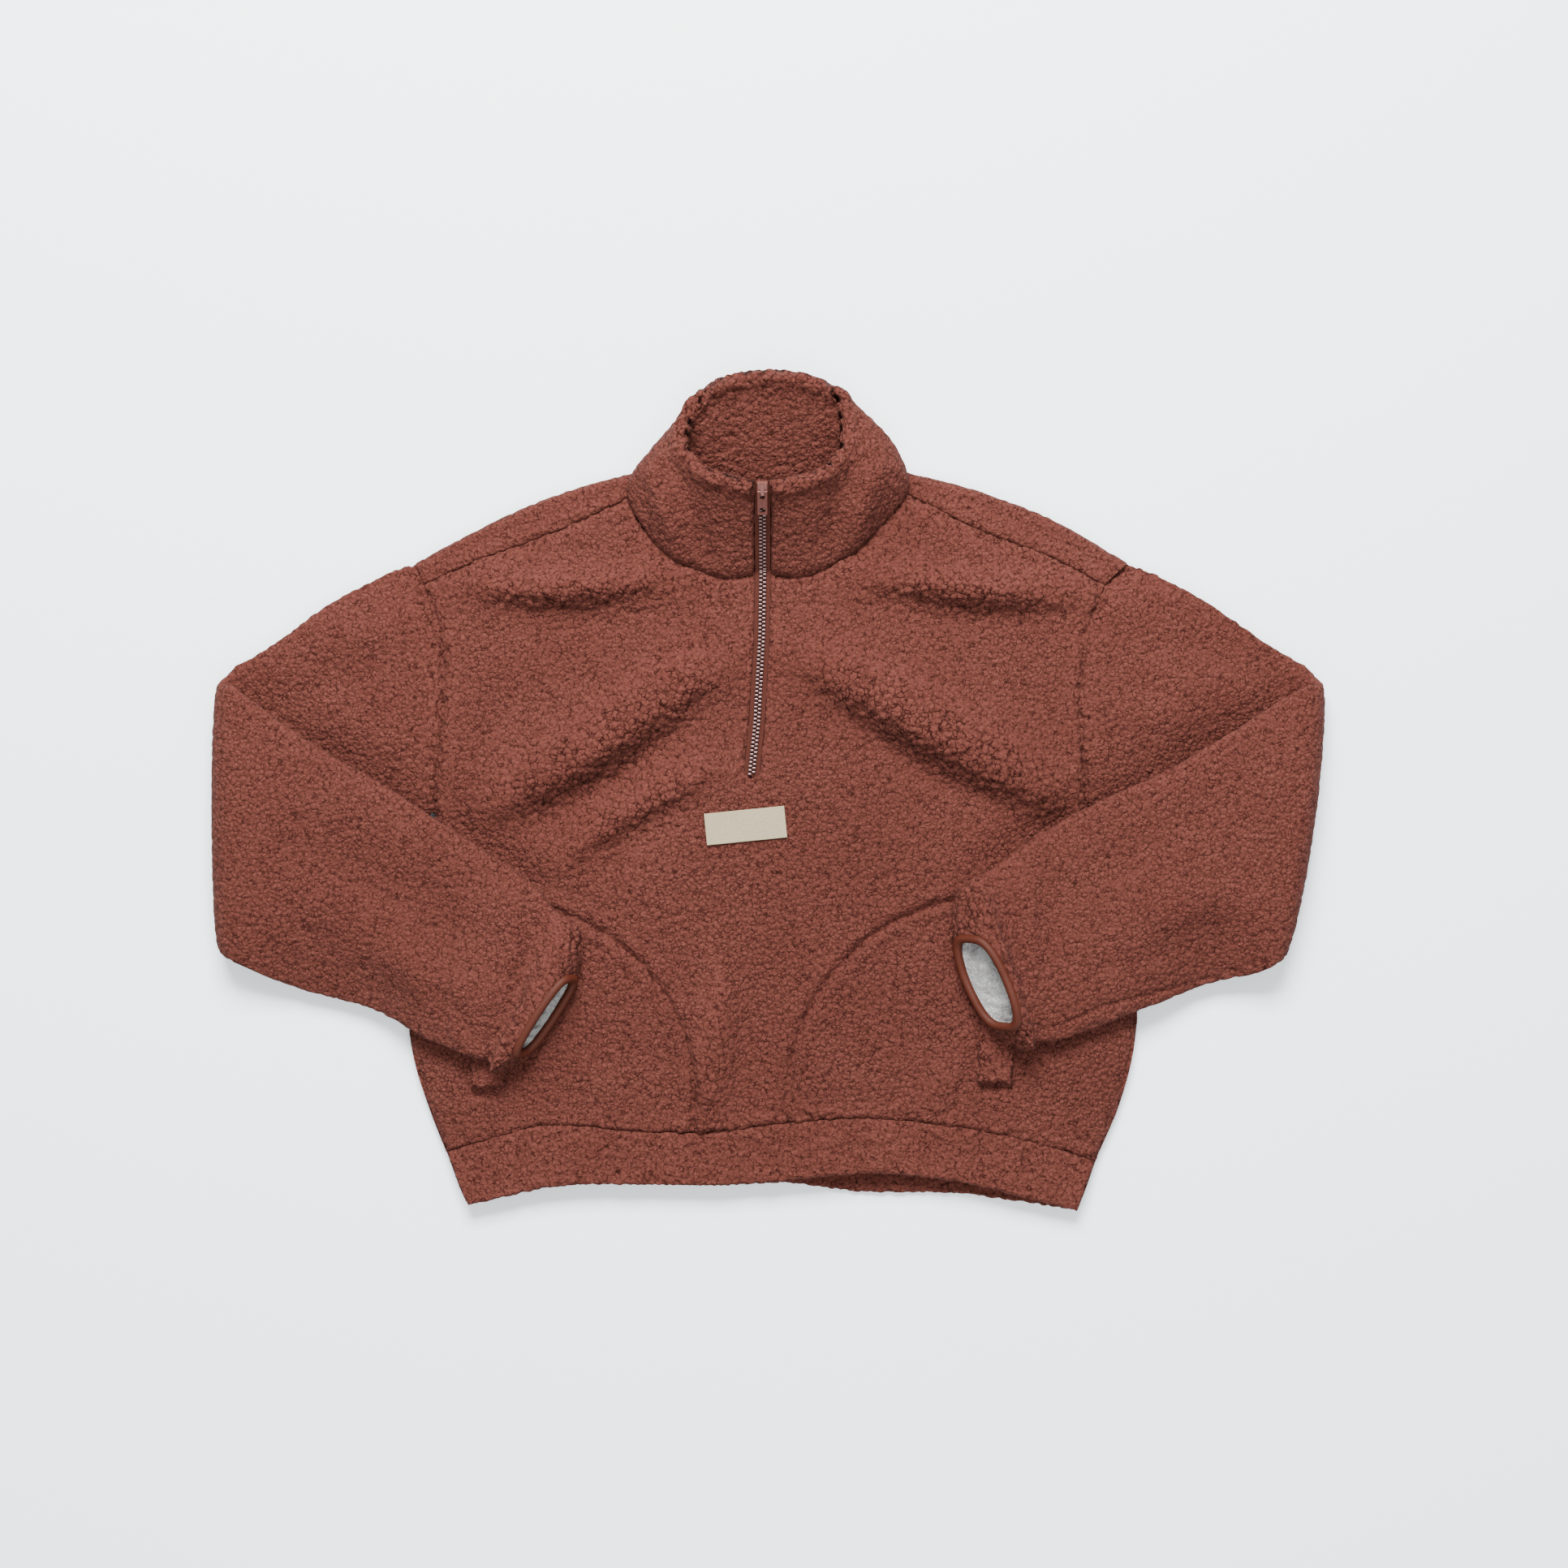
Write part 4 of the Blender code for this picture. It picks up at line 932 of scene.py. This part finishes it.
def welt_lift(x, y):
    lift = np.zeros(np.shape(x))
    for row in WELTS:
        middle_y = row.low_y + WELT_SIZE[1] / 2
        aside = np.abs(x - row.x) / (WELT_SIZE[0] / 2 + 22)
        ahead = np.abs(y - middle_y) / (WELT_SIZE[1] / 2 + 30)
        inside = smoothstep((1 - aside) * 2.5) * smoothstep((1 - ahead) * 4)
        lift = np.maximum(lift, (WELT_WALL + WELT_GAP) * inside)
    return lift


def inside_body(x, y):
    left = np.interp(y, *zip(*[(row.left_y, row.left_x) for row in SIDES]))
    right = np.interp(y, *zip(*[(row.right_y, row.right_x) for row in SIDES]))
    return smoothstep((np.minimum(x - left, right - x) + 30) / 20)


def section_spine(row, shares, bow):
    up = np.array([row.up_x, row.up_y], float)
    low = np.array([row.low_x, row.low_y], float)
    return (1 - shares)[:, None] * up + shares[:, None] * low + row.bow * bow


def smooth_sections(rows, steps):
    stacked = np.array(rows, float)
    at = np.linspace(0, len(rows) - 1, (len(rows) - 1) * steps + 1)
    low = np.clip(at.astype(int), 0, len(rows) - 2)
    t = (at - low)[:, None]
    slopes = np.gradient(stacked, axis=0)
    return [Section(*values) for values in between(stacked, slopes[low], slopes[low + 1], low, t)]


UPPER_STEPS = 22
FOLD_STEPS = 24
FOREARM_STEPS = 22
RING_POINTS = 300


def fold_line(fold, shares, turn):
    """The line that a sleeve folds round, at one angle of its turn."""
    part = turn / math.pi
    draw = FOLD_DRAW * math.sin(turn)
    up_y = (1 - part) * fold.arm_up_y + part * fold.fore_up_y - draw
    low_y = (1 - part) * fold.arm_low_y + part * fold.fore_low_y
    line = (1 - shares)[:, None] * [fold.up_x, up_y] + shares[:, None] * [fold.low_x, low_y]
    line[:, 0] += fold.bow * np.sin(np.pi * shares)
    return line


def sleeve_rings(sleeve):
    """Rings of outer points from the armhole round the elbow fold to the cuff."""
    side = sleeve.side
    shares, heights = ring_shares(RING_POINTS)
    bow = armhole_bow(side, shares)
    rings = []
    sections = smooth_sections(sleeve.upper, UPPER_STEPS)
    armhole = section_spine(sections[0], shares, bow)
    rim = (front_middle(armhole[:, 0], armhole[:, 1]) + WALL / 2) / 2
    for row in sections:
        plan = section_spine(row, shares, bow)
        away = np.linalg.norm(plan - armhole, axis=1)
        half = rim + (row.half - rim) * smoothstep(away / 60)
        z = half + half * heights
        fade = smoothstep(away / 12) * np.clip(heights, 0, 1)
        for crease in sleeve.arm_creases:
            z = z + fade * fold_height(crease, plan[:, 0], plan[:, 1])
        rings.append(np.column_stack([plan, z]))
    middle = FOLD_HALF + FOLD_GAP
    axis_z = 2 * FOLD_HALF + FOLD_GAP
    for turn in np.linspace(0, math.pi, FOLD_STEPS + 1):
        line = fold_line(sleeve.fold, shares, turn)
        reach = middle - FOLD_HALF * heights
        x = line[:, 0] - side * (2 * FOLD_HALF + FOLD_GAP) + side * reach * math.sin(turn)
        rings.append(np.column_stack([x, line[:, 1], axis_z - reach * math.cos(turn)]))
    rested = axis_z + middle
    for index, row in enumerate(smooth_sections(sleeve.forearm, FOREARM_STEPS)):
        plan = section_spine(row, shares, bow)
        x, y = plan[:, 0], plan[:, 1]
        support = front_middle(x, y) + WALL / 2 + welt_lift(x, y) + FOREARM_CLEAR
        spine = np.maximum(rested, inside_body(x, y) * (support + row.half))
        if row.drape:
            spine = spine - row.drape * smoothstep((shares - row.drape_from) / (1 - row.drape_from))
        rise = row.half - row.half * heights
        back = row.set_back * rise / (2 * row.half) * side
        z = spine - row.half + rise
        fade = smoothstep(index / 20) * np.clip(-heights, 0, 1)
        for crease in sleeve.creases:
            z = z + fade * fold_height(crease, x + back, y)
        if side > 0:
            z = z - 2.4 * fade * np.exp(-(distance_to(RIGHT_UNDERARM_SEAM, x + back, y) / 2.4) ** 2)
        rings.append(np.column_stack([x + back, y, z]))
    return np.array(rings)


def shrink_ring(ring, across_by, along_by):
    """A ring drawn in towards its middle line, by one distance through it and one along it."""
    count = len(ring)
    middle = ring.mean(axis=0)
    ahead = ring[count // 2] - ring[0]
    ahead = ahead / np.linalg.norm(ahead)
    away = ring - middle
    along_it = away @ ahead
    across_it = away - along_it[:, None] * ahead
    spine = (across_it + np.roll(across_it[::-1], 1, axis=0)) / 2
    reach = np.linalg.norm(ring[count // 4] - ring[-count // 4]) / 2
    length = np.abs(along_it).max()
    along_share = np.broadcast_to((length - along_by) / length, count)[:, None]
    across_share = np.broadcast_to((reach - across_by) / reach, count)[:, None]
    return middle + along_share * along_it[:, None] * ahead + spine + across_share * (across_it - spine)


def travel_along(rings):
    """Distance along the sleeve at each ring."""
    steps = np.linalg.norm(np.diff(rings.mean(axis=1), axis=0), axis=1)
    return np.concatenate([[0.0], np.cumsum(steps)])


def cuff_swell(before_mouth):
    """How far a ring stands out near the cuff, where the binding gathers the fleece."""
    roll = 4.5 * np.exp(-((before_mouth - 12) / 8) ** 2)
    return roll - 3.0 * np.exp(-((before_mouth - 32) / 9) ** 2)


def make_sleeve(sleeve, rings):
    side, mouth = sleeve.side, sleeve.mouth
    travel = travel_along(rings)
    before = travel[-1] - travel
    spine = (rings + np.roll(rings[:, ::-1], 1, axis=1)) / 2
    lift = rings - spine
    pinch = 1 - 0.3 * (1 - rounding(travel))
    around = np.arange(RING_POINTS) / RING_POINTS
    waves = 1.1 * np.sin(2 * np.pi * 17 * around) + 0.7 * np.sin(2 * np.pi * 29 * around + 1.3)
    shaped = spine + lift * pinch[:, None, None]
    for index in np.nonzero(before < 60)[0]:
        gather = waves * math.exp(-before[index] / 16)
        roll = 1 - rounding(before[index], CUFF_ROLL)
        swell = (cuff_swell(before[index]) + gather) * smoothstep(before[index] / 7) - 1.5 * roll ** 4
        shaped[index] = shrink_ring(shaped[index], mouth.across * roll - swell, mouth.along * roll - swell)
    inner = shrink_ring(shaped[0], 2.0, -5.0) - [side * 7, 0, 0]
    last = shrink_ring(rings[-1], mouth.across + 2.5, mouth.along + 2.5)
    shaped = np.concatenate([[inner], shaped, [last]])
    before = np.concatenate([[before[0]], before, [0]])
    travel = np.concatenate([[0], travel, [travel[-1]]])
    heights = ring_shares(RING_POINTS)[1]
    crest = 0.1 + 0.7 * np.exp(-(travel / 11) ** 2)[:, None] + 0.7 * np.exp(-(before / 20) ** 2)[:, None]
    crest = np.clip(crest + 0.25 * (1 - np.abs(heights)), 0, 1)
    if side < 0:
        shaped, crest = shaped[:, ::-1], crest[:, ::-1]
    mesh = grid_mesh(f"sleeve_fleece_{sleeve.name}", shaped, closed=True)
    pile = np.broadcast_to(0.15 + 0.85 * smoothstep(before / 8)[:, None], crest.shape)
    return add_piece(f"sleeve_fleece_{sleeve.name}", mesh, pile.ravel(), crest.ravel())


def make_binding(name, rings, mouth):
    """Smooth elastic binding that folds over the mouth of the sleeve."""
    quarter = RING_POINTS // 4
    out = np.cross(rings[-1][2 * quarter] - rings[-1][0], rings[-1][quarter] - rings[-1][-quarter])
    out = out / np.linalg.norm(out) * np.sign(np.dot(out, (rings[-1] - rings[-30]).mean(axis=0)))
    loops = []
    for turn in np.linspace(0, 2 * math.pi, 24, endpoint=False):
        inset = BINDING_WIDTH / 2 * (1 - math.cos(turn))
        depth = BINDING_DEPTH * (0.5 * math.sin(turn) + 0.1)
        loops.append(shrink_ring(rings[-1], mouth.across + inset, mouth.along + inset) + out * depth)
    mesh = grid_mesh(f"binding_{name}", np.array(loops), closed=True, looped=True)
    outward(mesh)
    return add_piece(f"binding_{name}", mesh)


def make_lining(name, rings, mouth):
    """Satin that shows inside the cuff, in soft wrinkles drawn up by the binding."""
    inside = rings[-44:]
    around = np.arange(RING_POINTS) / RING_POINTS
    lining = []
    for index, ring in enumerate(inside):
        deep = (len(inside) - 1 - index) / 9
        wave = np.sin(2 * np.pi * 8 * around + 0.9 * deep)
        wave = wave + 0.7 * np.sin(2 * np.pi * 19 * around - 1.4 * deep)
        depth = BINDING_WIDTH * 0.7 + (2.0 + 0.9 * wave) * min(1, deep)
        lining.append(shrink_ring(ring, mouth.across + depth, mouth.along + depth))
    return add_piece(f"lining_{name}", grid_mesh(f"lining_{name}", np.array(lining), closed=True))


# Collar


def collar_grid(columns, levels):
    """The middle of the collar's wall, seam row first."""
    round_it = np.linspace(0, 1, columns + 1)
    rows = np.array([row[1:] for row in COLLAR], float)
    seam_rim = along(rows[:, :6], round_it)
    swell = np.interp(round_it, np.linspace(0, 1, len(rows)), rows[:, 6])
    seam, rim = seam_rim[:, :3].copy(), seam_rim[:, 3:]
    out = seam[:, :2] - COLLAR_CENTRE
    out = out / np.linalg.norm(out, axis=1)[:, None]
    grid = []
    for up in levels:
        level = (1 - up) * seam + up * rim
        level[:, 2] = seam[:, 2] + (rim[:, 2] - seam[:, 2]) * up ** 1.3
        bulge = swell * math.sin(math.pi * up)
        level[:, :2] += out * bulge[:, None]
        level[:, 2] += 0.4 * bulge
        grid.append(level)
    grid = np.array(grid)
    tuck = np.clip(seam[:, 2] - 10, 0, 3) * np.clip(1 - np.array(levels) / 0.08, 0, 1)[:, None]
    grid[..., 2] -= tuck
    return grid


COLLAR_COLUMNS = 420
COLLAR_LEVELS = 64


def surface_normals(grid):
    up = np.gradient(grid, axis=0)
    across = np.gradient(grid, axis=1)
    normal = np.cross(across, up)
    return normal / np.linalg.norm(normal, axis=-1)[..., None]


def make_collar():
    levels = np.linspace(0, 1, COLLAR_LEVELS)
    grid = collar_grid(COLLAR_COLUMNS, levels)
    normal = surface_normals(grid)
    outside = smoothstep((COLLAR_CENTRE[1] + 24 - grid[..., 1]) / 20)
    rise = np.cumsum(np.linalg.norm(np.diff(grid, axis=0, prepend=grid[:1]), axis=-1), axis=0)
    length = np.cumsum(np.linalg.norm(np.diff(grid[-1], axis=0, prepend=grid[-1][:1]), axis=-1))
    from_end = np.minimum(length, length[-1] - length)[None, :]
    half = COLLAR_WALL / 2 * rounding(rise[-1][None] - rise, 5.5) * rounding(from_end, 4)
    half = half * (0.5 + 0.5 * rounding(rise, 14))
    below = rise[-1][None] - rise
    half = half * (1 + 0.3 * np.exp(-((below - 6) / 6) ** 2) - 0.1 * np.exp(-((below - 20) / 8) ** 2))
    for row in COLLAR_FOLDS:
        grid = grid + normal * (fold_height(row, grid[..., 0], grid[..., 1]) * outside)[..., None]
    outer = grid + normal * half[..., None]
    inner = grid - normal * half[..., None]
    loops = np.concatenate([outer, inner[::-1]])
    mesh = grid_mesh("collar_fleece", loops)
    crest = 0.15 + 0.85 * np.exp(-(below / 12) ** 2)
    return add_piece("collar_fleece", mesh, 1.0, np.concatenate([crest, crest[::-1]]).ravel())


# Zip


def zip_points():
    """The zip's line from its bottom stop to the slider, in the middle of the cloth."""
    front_y = np.linspace(ZIP_LINE[0].y, 160, 160)
    front_x = zip_x(front_y)
    front = np.stack([front_x, front_y, front_middle(front_x, front_y)], axis=-1)
    grid = collar_grid(44, np.linspace(0, 1, 6))
    edge = (grid[:, 0] + grid[:, -1]) / 2
    rise = along(edge, np.linspace(0.02, 0.99, 60))
    return np.concatenate([front, rise])


def square_off(line):
    """Directions square off the cloth along a line that runs nearly in the YZ plane."""
    ahead = np.gradient(line, axis=0)
    ahead[:, 0] = 0
    ahead = ahead / np.linalg.norm(ahead, axis=1)[:, None]
    return np.stack([np.zeros(len(line)), -ahead[:, 2], ahead[:, 1]], axis=1)


def make_tape():
    line = zip_points()
    up = square_off(line)
    shares = np.linspace(-1, 1, 13)
    points = np.stack([line + up * TAPE_RISE + [share * TAPE_HALF, 0, 0] for share in shares], axis=1)
    return add_piece("zip_tape_cloth", grid_mesh("zip_tape_cloth", points))


def make_teeth():
    """Moulded teeth that mesh down the middle of the chain."""
    line = zip_points()
    up = square_off(line)
    run = np.concatenate([[0], np.cumsum(np.linalg.norm(np.diff(line, axis=0), axis=1))])
    shape = bmesh.new()
    count = int((run[-1] - 4) / TOOTH_PITCH)
    for index in range(count):
        for side in (-1, 1):
            at = 2.0 + (index + (0.5 if side > 0 else 0.0)) * TOOTH_PITCH
            place = np.array([np.interp(at, run, line[:, axis]) for axis in range(3)])
            lift = np.array([np.interp(at, run, up[:, axis]) for axis in range(3)])
            forward = np.cross(lift, [1, 0, 0]) * -1
            basis = Matrix.Identity(4)
            basis.col[0][:3] = Vector((side, 0, 0))
            basis.col[1][:3] = Vector(forward)
            basis.col[2][:3] = Vector(lift)
            centre = place + lift * TOOTH_RISE + np.array([side * TOOTH_ASIDE, 0, 0])
            basis.translation = Vector(centre) * MM
            scale = Matrix.Diagonal((*[size * MM for size in TOOTH_SIZE], 1))
            bmesh.ops.create_cube(shape, size=1.0, matrix=basis @ scale)
    mesh = bpy.data.meshes.new("zip_teeth")
    bmesh.ops.recalc_face_normals(shape, faces=shape.faces[:])
    shape.to_mesh(mesh)
    shape.free()
    piece = add_piece("zip_teeth", mesh, smooth=False)
    soft = piece.modifiers.new("edges", "BEVEL")
    soft.width = 0.35 * MM
    soft.segments = 2
    return piece


# Label and welts


def turned_grid(centre, size, turn, cells):
    across = np.linspace(-0.5, 0.5, cells[0] + 1) * size[0]
    up = np.linspace(-0.5, 0.5, cells[1] + 1) * size[1]
    x, y = np.meshgrid(across, up)
    return (
        centre[0] + x * math.cos(turn) - y * math.sin(turn),
        centre[1] + x * math.sin(turn) + y * math.cos(turn),
        x,
        y,
    )


def make_label():
    x, y, u, v = turned_grid(LABEL_CENTRE, LABEL_SIZE, LABEL_TURN, (122, 48))
    z = front_middle(x, y) + WALL / 2 + 1.6 + 0.35 * np.sin(u / 7.0) * np.cos(v / 9.0)
    piece = add_piece("label_cloth", grid_mesh("label_cloth", np.stack([x, y, z], axis=-1)))
    solid = piece.modifiers.new("wall", "SOLIDIFY")
    solid.thickness = 0.8 * MM
    solid.offset = -1
    return piece


def make_welt(row):
    x, y, u, v = turned_grid((row.x, row.low_y + WELT_SIZE[1] / 2), WELT_SIZE, row.turn, (28, 120))
    rim = np.minimum(WELT_SIZE[0] / 2 - np.abs(u), WELT_SIZE[1] / 2 - np.abs(v))
    z = front_middle(x, y) + WALL / 2 - 1 + WELT_RISE * rounding(rim, 3)
    mesh = grid_mesh(row.name + "_fleece", np.stack([x, y, z], axis=-1))
    crest = 0.4 + 0.6 * np.exp(-(rim / 4) ** 2)
    return add_piece(row.name + "_fleece", mesh, 1.0, crest.ravel())


# Scene


def add_camera():
    data = bpy.data.cameras.new("camera")
    data.sensor_width = SENSOR
    data.lens = SENSOR * CAMERA_HEIGHT / PHOTO_WIDTH
    camera = bpy.data.objects.new("camera", data)
    camera.location = (CAMERA_OVER[0] * MM, CAMERA_OVER[1] * MM, CAMERA_HEIGHT * MM)
    bpy.context.scene.collection.objects.link(camera)
    bpy.context.scene.camera = camera


def add_light(name, place, size, power):
    data = bpy.data.lights.new(name, "AREA")
    data.shape = "RECTANGLE"
    data.size, data.size_y = size
    data.energy = power
    light = bpy.data.objects.new(name, data)
    light.location = place
    light.rotation_euler = (-Vector(place)).to_track_quat("-Z", "Y").to_euler()
    bpy.context.scene.collection.objects.link(light)


def add_floor():
    shape = bmesh.new()
    bmesh.ops.create_grid(shape, x_segments=1, y_segments=1, size=FLOOR_HALF)
    mesh = bpy.data.meshes.new("floor")
    shape.to_mesh(mesh)
    shape.free()
    floor = bpy.data.objects.new("floor", mesh)
    bpy.context.scene.collection.objects.link(floor)
    made, _, shader = new_material("floor_paint", 0.9)
    shader.inputs["Base Color"].default_value = (0.92, 0.965, 1.0, 1.0)
    mesh.materials.append(made)


def add_world():
    world = bpy.data.worlds.new("studio")
    world.use_nodes = True
    sky = world.node_tree.nodes["Background"]
    sky.inputs["Color"].default_value = (0.95, 0.97, 1.0, 1.0)
    sky.inputs["Strength"].default_value = 0.78
    bpy.context.scene.world = world


def dress(piece, made, body, node):
    piece.data.materials.append(made)
    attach(piece, body)
    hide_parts(node)


def main():
    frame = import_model()
    fleece = fleece_material()
    binding = plain_cloth_material("elastic_binding", (0.055, 0.0115, 0.0052), 0.55, 1500.0, 0.0002)
    satin = plain_cloth_material("satin_lining", (0.20, 0.195, 0.19), 0.28, 260.0, 0.002, 0.5)
    label = plain_cloth_material("label_cloth", (0.31, 0.262, 0.168), 0.85, 1800.0, 0.0002)
    # The tape is the zip's own dark rust, darkened further as painted shade of the gap it lies in between
    # the fleece's edges.
    tape = plain_cloth_material("zip_tape_cloth", (0.050, 0.0115, 0.0070), 0.85, 1500.0, 0.0003)
    teeth = metal_material("zip_teeth_metal", (0.17, 0.105, 0.102), 0.3, 0.6)
    paint = metal_material("zip_slider_paint", (0.13, 0.042, 0.032), 0.3, 0.3)

    front = make_front()
    dress(front, fleece, "garment", "front_panel")
    back = make_back()
    dress(back, fleece, "garment", "back_panel")
    for name, rows, edge, front_band in (
        ("front", HEM, "edge_y", True), ("back", back_hem(), "back_y", False)
    ):
        band = make_band(f"hem_{name}_fleece", rows, edge, front_band)
        dress(band, fleece, "garment", f"hem_band_{name}")
    for sleeve in SLEEVES:
        rings = sleeve_rings(sleeve)
        piece = make_sleeve(sleeve, rings)
        dress(piece, fleece, "garment", f"sleeve_{sleeve.name}")
        piece = make_binding(sleeve.name, rings, sleeve.mouth)
        dress(piece, binding, "garment", f"cuff_binding_{sleeve.name}")
        piece = make_lining(sleeve.name, rings, sleeve.mouth)
        dress(piece, satin, "garment", f"cuff_lining_{sleeve.name}")
    collar = make_collar()
    dress(collar, fleece, "garment", "collar")
    piece = make_tape()
    dress(piece, tape, "garment", "zip_tape")
    dress(make_teeth(), teeth, "garment", "zip_chain")
    piece = make_label()
    dress(piece, label, "garment", "label")
    for row in WELTS:
        piece = make_welt(row)
        dress(piece, fleece, "garment", row.name)
    for node in ("zip_slider", "zip_pull"):
        frame["nodes"][node].data.materials.clear()
        frame["nodes"][node].data.materials.append(paint)

    add_camera()
    add_light("key", (-0.2, 1.95, 2.1), (1.6, 1.1), 325)
    add_light("fill", (0.3, -1.2, 2.6), (2.4, 2.4), 75)
    add_floor()
    add_world()


main()
